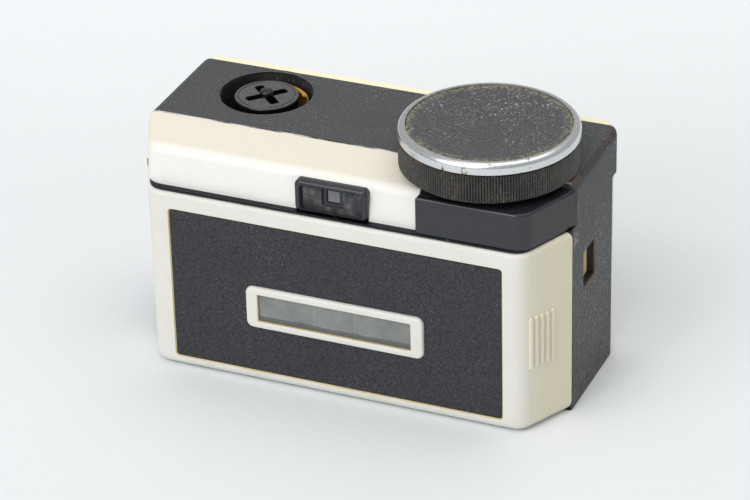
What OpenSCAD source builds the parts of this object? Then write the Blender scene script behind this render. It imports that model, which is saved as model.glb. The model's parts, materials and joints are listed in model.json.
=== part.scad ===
/* [Body] */
// Width over the straight sides
body_w = 112.2; // [108:0.2:118]
// Width of the flat back between the slanted ends
back_w = 97.4; // [94:0.1:100]
// Depth of the slanted ends
slant_d = 14.6; // [13:0.2:17]
// Depth of the straight sides
side_d = 28.8; // [26:0.2:32]
// Radius of the front corners
front_r = 5; // [4:0.2:7]
// Distance from the tripod axis to the back
back_d = 26; // [25.5:0.1:28]
// Height of the lower body, up to the deck plate
deck_z = 49.9; // [49.5:0.2:54]
// Height of the upper housing, from the deck plate to the top covering
upper_h = 11.3; // [10.6:0.2:14]
// Distance that the brow stands out over the lower front
brow_d = 3; // [2.4:0.2:6]
// Depth of the pale strip along the front edge of the top
strip_d = 3; // [2.6:0.1:5]
// Wall of the mouldings
wall = 1.8; // [1.4:0.1:2]
// Thickness of the bottom plate
base_t = 1.2; // [0.8:0.1:1.6]
// Thickness of the deck plate
plate_t = 0.6; // [0.4:0.1:1]
// Thickness of the grained covering sheets
trim_t = 0.4; // [0.3:0.1:0.5]

/* [Door] */
// Thickness of the door
door_t = 1.8; // [1.6:0.1:2]
// Radius of the upright bends of the door
bend_r = 5; // [3:0.1:6]
// Radius of the upper edge of the back
edge_r = 1.5; // [1:0.1:1.8]
// Radius of the lower edge of the back
foot_r = 2.6; // [1.5:0.1:2.8]
// Width of the covering sheet on the back
inlay_w = 87; // [80:0.5:90]
// Height of the covering sheet on the back
inlay_h = 41.5; // [36:0.5:42]
// Corner radius of the covering sheet
inlay_r = 0.7; // [0.5:0.1:2]
// Height of the window above the base
window_z = 21.9; // [20:0.1:28]
// Width of the film window
window_w = 40.5; // [30:0.5:44]
// Height of the film window
window_h = 7.6; // [6:0.2:10]
// Width of the raised rim above and below the film window
rim_w = 1.9; // [1.4:0.1:2.6]
// Width of the raised rim beside the film window
rim_side = 3.2; // [1.4:0.1:3.6]
// Height of the raised rim over the back
rim_out = 0.8; // [0.4:0.1:1.2]
// Number of grip ribs on the slanted end
rib_count = 5; // [3:1:6]
// Distance between grip ribs
rib_pitch = 1.78; // [1.6:0.01:2.2]
// Length of the grip ribs
rib_l = 14.3; // [10:0.1:20]
// Radius of the grip ribs
rib_r = 0.6; // [0.4:0.05:0.7]
// Radius of the hinge pin
pin_r = 0.7; // [0.5:0.05:0.8]
// Radius of the hinge bead
bead_r = 1.5; // [1.4:0.05:1.6]

/* [Film chamber] */
// Length of the film cartridge
cart_l = 81; // [80:0.2:82]
// Height of the film cartridge
cart_h = 40; // [38:0.2:40.4]
// Radius of the cartridge's two lobes
lobe_r = 11; // [10:0.1:11.2]
// Side of the square film gate
gate_w = 28; // [24:0.2:28.4]
// Gap between the tripod bush and the light box
film_gap = 1.4; // [1.2:0.1:2]
// Depth from the back of the cartridge to the film gate
bridge_d = 6.4; // [5.6:0.1:7]
// Wall of the film chamber
chamber_t = 1.6; // [1.2:0.1:1.8]

/* [Winding knob] */
// Sideways place of the knob axis
knob_x = 32.9; // [31.5:0.1:33.4]
// Distance from the back to the knob axis
knob_d = 20.4; // [20:0.1:21.5]
// Outer radius of the knob
knob_r = 22; // [20:0.1:22.4]
// Height of the knurled skirt
skirt_h = 7.6; // [6.6:0.1:10]
// Height of the bright ring
ring_h = 2.9; // [2.4:0.1:4]
// Radius of the grained disc on the knob
disc_r = 20.1; // [17:0.1:20.2]
// Number of ribs round the skirt
knurl_count = 120; // [60:10:160]
// Depth of the ribs round the skirt
knurl_d = 0.3; // [0.2:0.05:0.5]
// Radius of the winding arbor
arbor_r = 1.5; // [1.2:0.05:1.8]
// Outer radius of the spring barrel
barrel_r = 14.6; // [12:0.1:14.8]
// Number of teeth on the barrel pinion
barrel_teeth = 18; // [17:1:19]
// Number of teeth on the take-up gear
spool_teeth = 20; // [19:1:21]
// Gear module
gear_m = 0.5; // [0.48:0.01:0.52]
// Turns of the mainspring
spring_turns = 6; // [3:1:8]

/* [Flash socket] */
// Sideways place of the flash socket
flash_x = -32.4; // [-36:0.1:-28]
// Distance from the back to the flash socket
flash_d = 35.5; // [33:0.1:36.2]
// Radius of the socket well
well_r = 11.5; // [10.5:0.1:12]
// Radius of the turning drum
drum_r = 8.2; // [7.5:0.1:8.6]
// Half length of the cross cut in the drum
cross_l = 5.5; // [4:0.1:6]
// Width of the cross cut in the drum
cross_w = 2.4; // [1.8:0.1:3]
// Radius of the centre post
post_r = 1.8; // [1.4:0.1:2]

/* [Viewfinder] */
// Width of the eyepiece frame
eye_w = 19; // [15:0.2:20]
// Height of the eyepiece frame
eye_h = 8.3; // [7.4:0.1:8.6]
// Distance that the eyepiece stands out of the panel
eye_out = 2.6; // [2.2:0.1:3.2]
// Place of the eyepiece across the body
eye_x = -0.5; // [-2:0.1:2]
// Side of the square sight hole
sight_w = 5.2; // [4:0.1:6]

/* [Lens and shutter] */
// Outer radius of the lens barrel
lens_tube_r = 12.5; // [11:0.1:14]
// Distance that the lens stands out of the lower front
lens_out = 11.5; // [9:0.1:14]
// Radius of the front lens
front_glass_r = 8; // [6.5:0.1:9]
// Radius of the rear lens
rear_glass_r = 5; // [4:0.1:5.6]
// Radius of the aperture
stop_r = 2.2; // [1.5:0.1:2.6]

/* [Shutter release] */
// Sideways place of the shutter release
release_x = 38; // [34:0.2:42]
// Height of the shutter release at rest
release_z = 40; // [38:0.2:41]
// Travel of the shutter release
release_travel = 4; // [3:0.1:5]

/* [Base] */
// Radius of the tripod socket
socket_r = 3.175; // [3:0.005:4.8]
// Depth of the tripod socket
socket_l = 5.5; // [4.5:0.1:5.6]

/* [Hidden] */
$fn = 64;
// Lap of solids that join
eps = 0.01;
// Overrun of solids past the faces that they cut
cut = 1;

// Clearances
shim = 0.05;
fit_gap = 0.02;
run_gap = 0.06;
part_gap = 0.2;
move_gap = 0.4;

// Levels and planes
half_w = body_w / 2;
back_half = back_w / 2;
slant_a = atan2(half_w - back_half, slant_d);
back_y = -back_d;
side_y0 = back_y + slant_d;
side_y1 = side_y0 + side_d;
roof_set = 2.7;
roof_y0 = side_y0 + roof_set;
upper_a = atan((half_w - back_half) / (roof_y0 - back_y));
front_y = side_y1 + front_r;
brow_y = front_y + brow_d;
roof_y1 = brow_y - strip_d;
upper_z = deck_z + plate_t;
body_h = upper_z + upper_h;
roof_top = body_h - trim_t;
roof_under = roof_top - wall;
floor_z = base_t + wall;
ceil_z = deck_z - wall;
shell_half = half_w - trim_t;
trim_edge = 1.4;
trim_z0 = 0.3;
trim_z1 = deck_z - trim_edge;

// Film axis
tunnel_half = gate_w / 2 + 1;
box_half = tunnel_half + 1.5;
bush_l = socket_l + 1;
film_z = bush_l + film_gap + box_half;

// Door
door_z0 = trim_z0;
door_z1 = deck_z - 0.1;
return_t = 1.4;
return_d = 7;
return_w = 0.8;
inlay_seat = 0.6;
inlay_drop = 0.25;
inlay_z = film_z - inlay_drop;
inlay_hole = 0.1;
rim_half_w = window_w / 2 + rim_side;
rim_half_h = window_h / 2 + rim_w;
rim_r = 2;
pane_t = 1;
pane_seat = 0.5;
rib_first = 2.9;
rib_z = window_z + 2.75;
hinge_in = bead_r + 0.5;
hinge_set = 0.6;
hinge_x = -(half_w - hinge_in);
hinge_y = side_y0 - hinge_set;
ear_r = bead_r;
ear_room = 2;
ear_root = 6;
pin_z0 = base_t + 0.6;
ear_top_z = ceil_z - wall;
bead_z0 = floor_z + move_gap;
bead_z1 = ear_top_z - move_gap;
press_h = 24;
press_foot = 4;
press_w = 6;
press_bow = 0.9;
left_wall_y = hinge_y + norm([hinge_in, hinge_set]) + move_gap;

// Film chamber
cart_gap = 0.4;
cart_y = back_y + door_t + 1.3;
gate_y = cart_y + bridge_d;
gate_t = 1.5;
chamber_x = cart_l / 2 + cart_gap;
chamber_z0 = film_z - cart_h / 2 - cart_gap;
chamber_z1 = film_z + cart_h / 2 + cart_gap;
chamber_y = back_y + door_t + 0.5;
lobe_clear_r = lobe_r + cart_gap;
spool_x = chamber_x - lobe_clear_r;
box_y1 = side_y1 - 2.2;

// Winding motor
ridge_drop = 1.7;
block_z1 = body_h - ridge_drop;
block_under = block_z1 - 1.2;
knob_y = back_y + knob_d;
mesh_d = gear_m * (barrel_teeth + spool_teeth) / 2;
spool_y = knob_y - sqrt(mesh_d * mesh_d - (knob_x - spool_x) * (knob_x - spool_x));
mesh_a = atan2(spool_y - knob_y, spool_x - knob_x);
gear_z0 = upper_z + part_gap;
gear_h = 1;
barrel_z0 = gear_z0 + gear_h + part_gap;
barrel_floor = 0.8;
barrel_wall = 0.9;
cover_t = 0.6;
barrel_z1 = block_under - cover_t - move_gap;
spring_t = 0.4;
spring_r0 = arbor_r + 1.6;
spring_r1 = barrel_r - barrel_wall - 0.3;
bush_r = 4;
bush_flange_r = 5.4;
bush_flange_t = 0.6;
bush_boss_r = bush_flange_r + 0.8;
arbor_top_r = 2.5;
shoulder_z = barrel_z1 + cover_t + 0.15;
knob_z0 = body_h + 0.3;
knob_z1 = knob_z0 + skirt_h;
ring_z1 = knob_z1 + ring_h;
knob_wall = 1.8;
knob_web = 2.2;
ring_r = 1;
ring_lip_r = 0.4;
hub_r = 5;
hub_gap = 0.5;
disc_t = 0.9;
platform_z = ring_z1 - disc_t - 0.3;
screw_head_h = 1.4;
screw_head_r = 2.7;
knob_screw_r = 1.2;
knob_screw_l = 3.5;
tap_d = 4;
driver_l = 4;
driver_w = 0.6;
driver_d = 0.6;
arbor_z1 = platform_z - screw_head_h - 1.2;
spool_shaft_r = 1.5;
fork_r = 4;
fork_l = 4;
fork_t = 1;
fork_inset = 0.4;
fork_blade = 1.2;
fork_z1 = chamber_z1 - part_gap;
fork_z0 = fork_z1 - fork_t;

// Rear panel and motor housing
panel_set = 3.5;
panel_y = back_y + panel_set;
panel_lean = 1.5;
roof_r = 2.4;
cheek_r = 2.5;
cover_r = 1;
ridge_z = body_h - ridge_drop;
ridge_r = 2;
panel_end = 11.4;
panel_x1 = knob_x - panel_end;
panel_t = 1.6;
block_set = 0.5;
block_y = back_y + block_set;
block_gap = 0.1;
deck_inset = 0.3;

// Viewfinder
eye_y0 = panel_y - eye_out;
eye_y1 = panel_y + panel_t + 1;
eye_z0 = upper_z;
sight_up = 4.3;
sight_z = upper_z + sight_up;
eye_x0 = eye_x - eye_w / 2;
eye_x1 = eye_x + eye_w / 2;
eye_r = 1;
eye_rim_x = 1.6;
eye_rim_z = 1.2;
eye_sill = 0.4;
eye_dish = 1.5;
funnel_d = 2.2;
eye_glass_w = sight_w - 2.2;
eye_glass_t = 1.2;
eye_glass_y = eye_y0 + funnel_d + part_gap;
finder_half = 4.4;
finder_t = 0.7;
finder_h = 7.4;
finder_win_w = 12;
finder_win_h = 6.8;
finder_win_t = 1;
finder_win_r = 1;
finder_lip = 0.8;

// Flash socket
flash_y = back_y + flash_d;
cup_t = 0.6;
cup_z0 = upper_z + 2;
cup_floor = 1.2;
drum_z0 = cup_z0 + cup_floor + move_gap;
drum_z1 = body_h - 0.5;
cross_d = 2;
cross_a = 47;
post_z1 = drum_z1 + 1.4;
post_neck_h = 0.6;
post_neck = 0.4;
drum_shaft_r = 2;
index_r = 5;
index_h = 1.2;
index_flat = 0.82 * index_r;
index_z0 = upper_z + 0.3;
contact_t = 0.4;
contact_w = 3.2;
contact_r = (drum_r + well_r) / 2 + 0.2;
contact_lip = 0.9;
contact_angles = [55, 108];
contact_gap = 0.3;
contact_h = roof_top - cup_z0 - cup_floor - 1.4;
detent_t = 0.4;
detent_l = 13;
detent_foot = 3;
detent_gap = 0.3;

// Lens and shutter
plate_y0 = box_y1;
shutter_t = 0.8;
blade_room = 0.25;
blade_y0 = plate_y0 + shutter_t + blade_room;
blade_t = 0.3;
blade_r = stop_r + 1.2;
blade_pin = [9, 7];
blade_pin_r = 0.9;
blade_boss_r = 2;
blade_arm_w = 2.6;
pin_head_t = 0.4;
pin_head_r = blade_boss_r - 0.4;
pin_head_y = blade_y0 + blade_t + blade_room;
tube_y0 = blade_y0 + blade_t + 0.6 + pin_head_t;
tube_y1 = front_y + lens_out - 2.4;
ring_y1 = front_y + lens_out;
flange_r = lens_tube_r + 4.5;
flange_t = 1.6;
rear_seat_l = 3;
throat_r = rear_glass_r - 1.2;
glass_wall = 1.2;
bezel_t = 2.4;
bezel_lip = 0.8;
seat_lip = 1;
retainer_t = 1.2;
front_glass_l = 3;
front_seat_y = tube_y1 - retainer_t - front_glass_l;
rear_glass_l = 2.4;
glass_bow = 1.2;
shutter_screw = box_half - 2;
shutter_screw_r = 0.8;
shutter_head_r = 1.5;
shutter_head_t = 0.6;
shutter_screw_l = 5;
screw_room = 0.5;

// Shutter release
slot_w = 3;
slot_up = 2;
thumb_w = 8;
thumb_h = 5;
thumb_out = 4.5;
thumb_gap = 0.4;
slide_w = 11;
slide_h = 16;
slide_t = 1.6;
slide_y1 = front_y - wall - 0.3;
slide_y0 = slide_y1 - slide_t;
spring_wire_r = 0.35;
coil_r = 1.6;
coil_turns = 8;
wire_sides = 6;
coil_gap = 0.1;
peg_r = 0.9;
peg_h = 2;
thumb_r = 1;
coil_y = front_y - wall - coil_r - spring_wire_r - 0.3;
foot_half = coil_r + spring_wire_r + 0.2;
foot_t = 1.6;
shelf_z = 14;
shelf_t = 1.6;
shelf_w = 8;

// Film feeler
feeler_x = 9;
feeler_r = 0.7;
feeler_out = 1.2;
feeler_z = film_z + box_half + 1.7;
feeler_w = 4;
feeler_h = 3;
feeler_l = 4;
leaf_t = 0.3;
leaf_w = 4;
leaf_post = 1.6;
leaf_over = 1.6;
feeler_leaf_y = spool_y + part_gap + feeler_l + feeler_out + part_gap;

// Door release
latch_d = 26.9;
latch_y = back_y + latch_d;
latch_z = 35;
latch_w = 7.8;
latch_h = 9.6;
latch_deep = 2;
latch_t = 0.8;
latch_flange = 1.4;
latch_flange_t = 1;
latch_travel = 1.5;
latch_in_x = shell_half - wall - part_gap - latch_flange_t;
leaf_x = latch_in_x - latch_travel - part_gap - leaf_t;
leaf_bend_z = latch_z + latch_h / 2 + 2.4;
leaf_low_z = latch_z - 2;
leaf_high_z = ceil_z - 1;

// Base
bush_out_r = socket_r + 1.4;
boss_r = bush_out_r + 1.6;
base_screw_x = half_w - 9;
base_screw_ys = [side_y0 + 9, side_y1 - 6];
base_screw_r = 0.9;
base_boss_r = base_screw_r + 1.4;
drive_l = 1.3;
drive_w = 0.2;
drive_d = 0.4;
base_head_r = 1.9;
base_head_t = 0.7;
base_screw_l = 7;
boss_h = 4.5;

// Upper housing
post_spots = [[-14, -2], [-14, 14], [12, 14], [48, 16]];
post_col_r = 2.4;
house_screw_r = 0.9;
house_head_r = 1.8;
house_head_t = 0.8;

// Front cover
brow_r = 2.6;
brow_end = 2.3;
brow_x = half_w - brow_end;
brow_in = 6;
brow_lap = 0.5;
seat_edge = 2.5;
seat_in = front_r + seat_edge;
seat_z = 5;

// Colours
cream = "#ece7da";
black = "#2b2d2f";
grain = "#3c4044";
gloss = "#232629";
steel = "#b9bcc0";
brass = "#c98a2b";
clear = "#9fb0b4";

// Outline helpers
function unit(v) = v / norm(v);

function arc_at(a, b, c, r, n) =
    let (u = unit(a - b))
    let (v = unit(c - b))
    let (half = acos(u * v) / 2)
    let (o = b + unit(u + v) * r / sin(half))
    let (p = b + u * r / tan(half) - o)
    let (q = b + v * r / tan(half) - o)
    let (a0 = atan2(p[1], p[0]))
    let (turn = (atan2(q[1], q[0]) - a0 + 540) % 360 - 180)
    [for (k = [0 : n]) o + r * [cos(a0 + turn * k / n), sin(a0 + turn * k / n)]];

function rounded(points, radii, n = 6) =
    let (m = len(points))
    [for (i = [0 : m - 1])
        each (radii[i] == 0 ? [points[i]]
            : arc_at(points[(i + m - 1) % m], points[i], points[(i + 1) % m], radii[i], n))];

// Place of the slanted end's face, set in by an inset, at a depth y
function slant_x(y, inset) = back_half + (y - back_y) * tan(slant_a) - inset / cos(slant_a);
function upper_x(y, inset) = back_half + (y - back_y) * tan(upper_a) - inset / cos(upper_a);
function slant_end_y(inset) = back_y + (half_w - inset - back_half + inset / cos(slant_a)) / tan(slant_a);

// Outline of the back with its slanted ends, set in by an inset, from depth y0 to depth y1
function back_outline(inset, y0, y1, r) =
    let (x0 = slant_x(y0, inset))
    let (side = half_w - inset)
    let (ys = slant_end_y(inset))
    rounded(
        y1 > ys
            ? [[-x0, y0], [x0, y0], [side, ys], [side, y1], [-side, y1], [-side, ys]]
            : [[-x0, y0], [x0, y0], [slant_x(y1, inset), y1], [-slant_x(y1, inset), y1]],
        [r, r, 0, 0, 0, 0]);

// Outline of the upper back, whose slanted ends run up to the roof
function upper_outline(inset, y0, y1, r) =
    let (x0 = upper_x(y0, inset))
    let (x1 = upper_x(y1, inset))
    rounded([[-x0, y0], [x0, y0], [x1, y1], [-x1, y1]], [r, r, 0, 0]);

// Outline of a front corner piece from depth y0 to depth y1
function front_outline(inset, y0, y1, r) =
    let (x = half_w - inset)
    rounded([[-x, y0], [x, y0], [x, y1], [-x, y1]], [0, 0, r, r]);

function box_outline(x0, x1, y0, y1, r) =
    rounded([[x0, y0], [x1, y0], [x1, y1], [x0, y1]], [r, r, r, r]);

module slab(points, z0, z1)
    translate([0, 0, z0])
        linear_extrude(z1 - z0)
            polygon(points);

// A plate in the XZ plane between two depths
module upright(points, y0, y1)
    translate([0, y1, 0])
        rotate([90, 0, 0])
            linear_extrude(y1 - y0)
                polygon(points);

// A profile in the YZ plane drawn out between two places in X
module drawn(points, x0, x1)
    translate([x0, 0, 0])
        rotate([90, 0, 90])
            linear_extrude(x1 - x0)
                polygon(points);

module block(low, high)
    translate(low)
        cube(high - low);

module rod(at, r, z0, z1)
    translate([at[0], at[1], z0])
        cylinder(r = r, h = z1 - z0);

// A round bar along Y at a place in X and Z
module rod_y(x, z, r, y0, y1)
    translate([x, y1, z])
        rotate([90, 0, 0])
            cylinder(r = r, h = y1 - y0);

// A closed tube swept along points, with a ring of corners square to the path at each point
function frame_at(path, i) =
    let (last = len(path) - 1)
    unit(path[min(i + 1, last)] - path[max(i - 1, 0)]);

function ring_at(path, i, r, sides) =
    let (t = frame_at(path, i))
    let (u = unit(cross(t, abs(t[2]) < 0.9 ? [0, 0, 1] : [1, 0, 0])))
    let (v = cross(t, u))
    [for (k = [0 : sides - 1]) path[i] + r * (u * cos(360 * k / sides) + v * sin(360 * k / sides))];

module tube(path, r, sides) {
    n = len(path);
    rings = [for (i = [0 : n - 1]) each ring_at(path, i, r, sides)];
    walls = [for (i = [0 : n - 2]) for (k = [0 : sides - 1])
        let (a = i * sides + k)
        let (b = i * sides + (k + 1) % sides)
        each [[a, b, b + sides], [a, b + sides, a + sides]]];
    first = [for (k = [1 : sides - 2]) [0, k + 1, k]];
    top = (n - 1) * sides;
    final = [for (k = [1 : sides - 2]) [top, top + k, top + k + 1]];
    polyhedron(rings, concat(walls, first, final));
}

// Outline of a spur gear with straight-sided teeth, one tooth on the X axis
function gear_outline(teeth, m) =
    let (pitch = 360 / teeth)
    let (r0 = m * teeth / 2 - 1.15 * m)
    let (r1 = m * teeth / 2 + 0.8 * m)
    [for (i = [0 : teeth - 1]) each [
        r0 * [cos(pitch * (i - 0.27)), sin(pitch * (i - 0.27))],
        r1 * [cos(pitch * (i - 0.1)), sin(pitch * (i - 0.1))],
        r1 * [cos(pitch * (i + 0.1)), sin(pitch * (i + 0.1))],
        r0 * [cos(pitch * (i + 0.27)), sin(pitch * (i + 0.27))]]];

// Outline of a strip of spring wound from radius r0 out to radius r1
function spiral_outline(r0, r1, turns, t) =
    let (n = turns * 24)
    let (at = function (i, off) (r0 + (r1 - r0) * i / n + off) * [cos(15 * i), sin(15 * i)])
    concat([for (i = [0 : n]) at(i, 0)], [for (i = [n : -1 : 0]) at(i, -t)]);

function knurl_outline(r, depth, count) =
    [for (i = [0 : count - 1]) each [
        r * [cos(360 * i / count), sin(360 * i / count)],
        (r - depth) * [cos(360 * (i + 0.5) / count), sin(360 * (i + 0.5) / count)]]];

// Bottom plate with the tripod hole and the screw countersinks
module base_plate()
    color(black)
        difference() {
            slab(front_outline(trim_t, side_y0 + part_gap, front_y, front_r), 0, base_t);
            block([-half_w, side_y0 - cut, -eps], [hinge_x + ear_r + move_gap, left_wall_y, base_t + eps]);
            rod([0, 0], bush_out_r + run_gap, -eps, base_t + eps);
            for (x = [-base_screw_x, base_screw_x])
                for (y = base_screw_ys) {
                    rod([x, y], base_screw_r + run_gap, -eps, base_t + eps);
                    rod([x, y], base_head_r + run_gap, -eps, base_head_t);
                }
        }

module base_screws()
    color(steel)
        for (x = [-base_screw_x, base_screw_x])
            for (y = base_screw_ys)
                difference() {
                    union() {
                        rod([x, y], base_head_r, shim, base_head_t);
                        rod([x, y], base_screw_r, base_head_t - eps, base_screw_l);
                    }
                    for (d = [[drive_l, drive_w], [drive_w, drive_l]])
                        block([x - d[0], y - d[1], 0], [x + d[0], y + d[1], drive_d]);
                }

module tripod_bush()
    color(brass)
        difference() {
            rod([0, 0], bush_out_r, 0, bush_l);
            rod([0, 0], socket_r, -eps, socket_l);
        }

// Ear that holds one end of the hinge pin
module hinge_ear(z0, z1) {
    rod([hinge_x, hinge_y], ear_r, z0, z1);
    block([hinge_x - bead_r + trim_t, hinge_y, z0], [hinge_x + ear_r, left_wall_y + cut, z1]);
}

// Middle casing: a ring of floor, roof and two side walls, open to the front and the back
module body_shell()
    color(black)
        difference() {
            union() {
                difference() {
                    block([-shell_half, side_y0 + part_gap, base_t], [shell_half, side_y1, deck_z]);
                    block([-shell_half + wall, side_y0 - cut, floor_z],
                        [shell_half - wall, side_y1 + cut, ceil_z]);
                    block([-half_w, side_y0 - cut, floor_z],
                        [-shell_half + wall + cut, left_wall_y, ceil_z]);
                    block([-half_w - cut, side_y0 - cut, base_t - eps],
                        [hinge_x + ear_r + ear_room, left_wall_y, floor_z + eps]);
                    block([-half_w - cut, side_y0 - cut, ceil_z - eps],
                        [hinge_x + ear_r + ear_room, left_wall_y, deck_z + eps]);
                }
                hinge_ear(base_t, floor_z);
                hinge_ear(ear_top_z, deck_z);
                block([-shell_half, left_wall_y, ear_top_z],
                    [-shell_half + 2 * wall, left_wall_y + ear_root, ceil_z + eps]);
                rod([0, 0], boss_r, floor_z - eps, bush_l);
                for (x = [-base_screw_x, base_screw_x])
                    for (y = base_screw_ys)
                        rod([x, y], base_boss_r, floor_z - eps, floor_z + boss_h);
            }
            rod([0, 0], bush_out_r + fit_gap, 0, bush_l + cut);
            for (x = [-base_screw_x, base_screw_x])
                for (y = base_screw_ys)
                    rod([x, y], base_screw_r + fit_gap, 0, base_screw_l + screw_room);
            rod([hinge_x, hinge_y], pin_r + fit_gap, pin_z0, deck_z + cut);
            rod([spool_x, spool_y], spool_shaft_r + move_gap, ceil_z - cut, deck_z + cut);
            block([shell_half - wall - cut, latch_y - latch_w / 2, latch_z - latch_h / 2],
                [half_w + cut, latch_y + latch_w / 2, latch_z + latch_h / 2]);
            for (p = post_spots)
                rod(p, house_screw_r + fit_gap, ceil_z - cut, deck_z + cut);
        }

// Inner moulding with the two film lobes, the film gate and the light box
module film_chamber()
    color(black)
        difference() {
            union() {
                block([-chamber_x - chamber_t, chamber_y, floor_z],
                    [chamber_x + chamber_t, spool_y, ceil_z]);
                intersection() {
                    for (s = [-1, 1])
                        rod([s * spool_x, spool_y], lobe_clear_r + chamber_t, floor_z, ceil_z);
                    block([-half_w, chamber_y, 0], [half_w, front_y, deck_z]);
                }
                block([-box_half, gate_y, film_z - box_half], [box_half, box_y1, film_z + box_half]);
                block([feeler_x - leaf_w / 2, feeler_leaf_y + leaf_t, film_z + box_half - eps],
                    [feeler_x + leaf_w / 2, feeler_leaf_y + leaf_t + leaf_post, feeler_z + leaf_over]);
            }
            block([-chamber_x, chamber_y - cut, chamber_z0], [chamber_x, gate_y, chamber_z1]);
            for (s = [-1, 1]) {
                rod([s * spool_x, spool_y], lobe_clear_r, chamber_z0, chamber_z1);
                block([s * spool_x - lobe_clear_r, chamber_y - cut, chamber_z0],
                    [s * spool_x + lobe_clear_r, spool_y, chamber_z1]);
            }
            block([-gate_w / 2, gate_y - cut, film_z - gate_w / 2],
                [gate_w / 2, gate_y + gate_t + cut, film_z + gate_w / 2]);
            block([-tunnel_half, gate_y + gate_t, film_z - tunnel_half],
                [tunnel_half, box_y1 + cut, film_z + tunnel_half]);
            rod([spool_x, spool_y], spool_shaft_r + run_gap, chamber_z1 - cut, ceil_z + cut);
            rod_y(feeler_x, feeler_z, feeler_r + run_gap, gate_y - cut, spool_y + cut);
            for (x = [-shutter_screw, shutter_screw])
                for (z = [-shutter_screw, shutter_screw])
                    rod_y(x, film_z + z, shutter_screw_r + fit_gap, box_y1 - shutter_screw_l,
                        box_y1 + cut);
        }

// Rear edge of the covering on the left side, -1, or the right side, 1
function trim_y0(s) = s < 0 ? left_wall_y + part_gap : side_y0 + move_gap;

// Covering sheet on one side of the casing, with an optional window for the door release
module side_trim(s, y0, slotted)
    color(grain)
        difference() {
            block([min(s * shell_half, s * half_w), y0, trim_z0],
                [max(s * shell_half, s * half_w), side_y1 - part_gap, trim_z1]);
            if (slotted)
                block([s * half_w - cut, latch_y - latch_w / 2, latch_z - latch_h / 2],
                    [s * half_w + cut, latch_y + latch_w / 2, latch_z + latch_h / 2]);
        }

module side_trim_left()
    side_trim(-1, trim_y0(-1), false);

module side_trim_right()
    side_trim(1, trim_y0(1), true);

module hinge_pin()
    color(steel)
        rod([hinge_x, hinge_y], pin_r, pin_z0, door_z1);

// Side profile of the door's back with its edges rounded
function door_profile() =
    rounded([[back_y, door_z0], [front_y, door_z0], [front_y, door_z1], [back_y, door_z1]],
        [foot_r, 0, 0, edge_r]);

module door_grip()
    for (i = [0 : rib_count - 1]) {
        along = rib_first + i * rib_pitch;
        at = [slant_x(back_y, 0) + along * sin(slant_a), back_y + along * cos(slant_a)];
        rod(at, rib_r, rib_z - rib_l / 2, rib_z + rib_l / 2);
    }

// Hinged back: a tray with slanted ends, a raised window rim and a hinge bead at its left end
module rear_door()
    color(cream)
        difference() {
            union() {
                intersection() {
                    difference() {
                        slab(back_outline(0, back_y, side_y0, bend_r), door_z0, door_z1);
                        slab(back_outline(door_t, back_y + door_t, side_y0 + cut, bend_r - door_t),
                            door_z0 + return_t, door_z1 - return_t);
                        slab(back_outline(door_t + return_w, back_y + return_d, side_y0 + cut, 0),
                            door_z1 - return_t - cut, door_z1 + cut);
                    }
                    drawn(door_profile(), -body_w, body_w);
                }
                upright(box_outline(-rim_half_w, rim_half_w, window_z - rim_half_h, window_z + rim_half_h,
                    rim_r),
                    back_y - rim_out, back_y + door_t);
                door_grip();
                rod([hinge_x, hinge_y], bead_r, bead_z0, bead_z1);
            }
            difference() {
                upright(box_outline(-inlay_w / 2, inlay_w / 2, inlay_z - inlay_h / 2,
                    inlay_z + inlay_h / 2, inlay_r),
                    back_y - cut, back_y + inlay_seat);
                upright(box_outline(-rim_half_w, rim_half_w, window_z - rim_half_h, window_z + rim_half_h,
                    rim_r),
                    back_y - 2 * cut, back_y + door_t);
            }
            block([-window_w / 2 + pane_seat, back_y - 2 * cut, window_z - window_h / 2 + pane_seat],
                [window_w / 2 - pane_seat, back_y + door_t + cut, window_z + window_h / 2 - pane_seat]);
            block([-window_w / 2, back_y - 2 * cut, window_z - window_h / 2],
                [window_w / 2, back_y + pane_t, window_z + window_h / 2]);
            for (z = [[-cut, bead_z0], [bead_z1, door_z1 + cut]]) {
                rod([hinge_x, hinge_y], ear_r + move_gap, z[0], z[1]);
                block([-half_w - cut, hinge_y, z[0]], [hinge_x + ear_r + move_gap, side_y0 + cut, z[1]]);
            }
            rod([hinge_x, hinge_y], pin_r + run_gap, -cut, door_z1 + cut);
        }

module door_inlay()
    color(grain)
        difference() {
            upright(box_outline(-inlay_w / 2 + inlay_hole, inlay_w / 2 - inlay_hole,
                inlay_z - inlay_h / 2 + inlay_hole, inlay_z + inlay_h / 2 - inlay_hole, inlay_r),
                back_y + inlay_seat - trim_t, back_y + inlay_seat);
            upright(box_outline(-rim_half_w - inlay_hole, rim_half_w + inlay_hole,
                window_z - rim_half_h - inlay_hole, window_z + rim_half_h + inlay_hole, rim_r),
                back_y - cut, back_y + door_t);
        }

module window_pane()
    color(clear)
        block([-window_w / 2 + fit_gap, back_y, window_z - window_h / 2 + fit_gap],
            [window_w / 2 - fit_gap, back_y + pane_t, window_z + window_h / 2 - fit_gap]);

// Outline of a bowed leaf with flat feet from half length a down to half length b
function press_outline(a, b) =
    [[-a, 0], [-b, 0], [0, press_bow], [b, 0], [a, 0], [a, leaf_t], [b, leaf_t], [0, press_bow + leaf_t],
        [-b, leaf_t], [-a, leaf_t]];

// Two bowed leaves on the inside of the door that press on the cartridge's lobes
module cartridge_springs()
    color(steel)
        for (s = [-1, 1])
            translate([s * spool_x, back_y + door_t, film_z])
                rotate([0, 90, 0])
                    linear_extrude(press_w, center = true)
                        polygon(press_outline(press_h / 2, press_h / 2 - press_foot));

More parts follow.
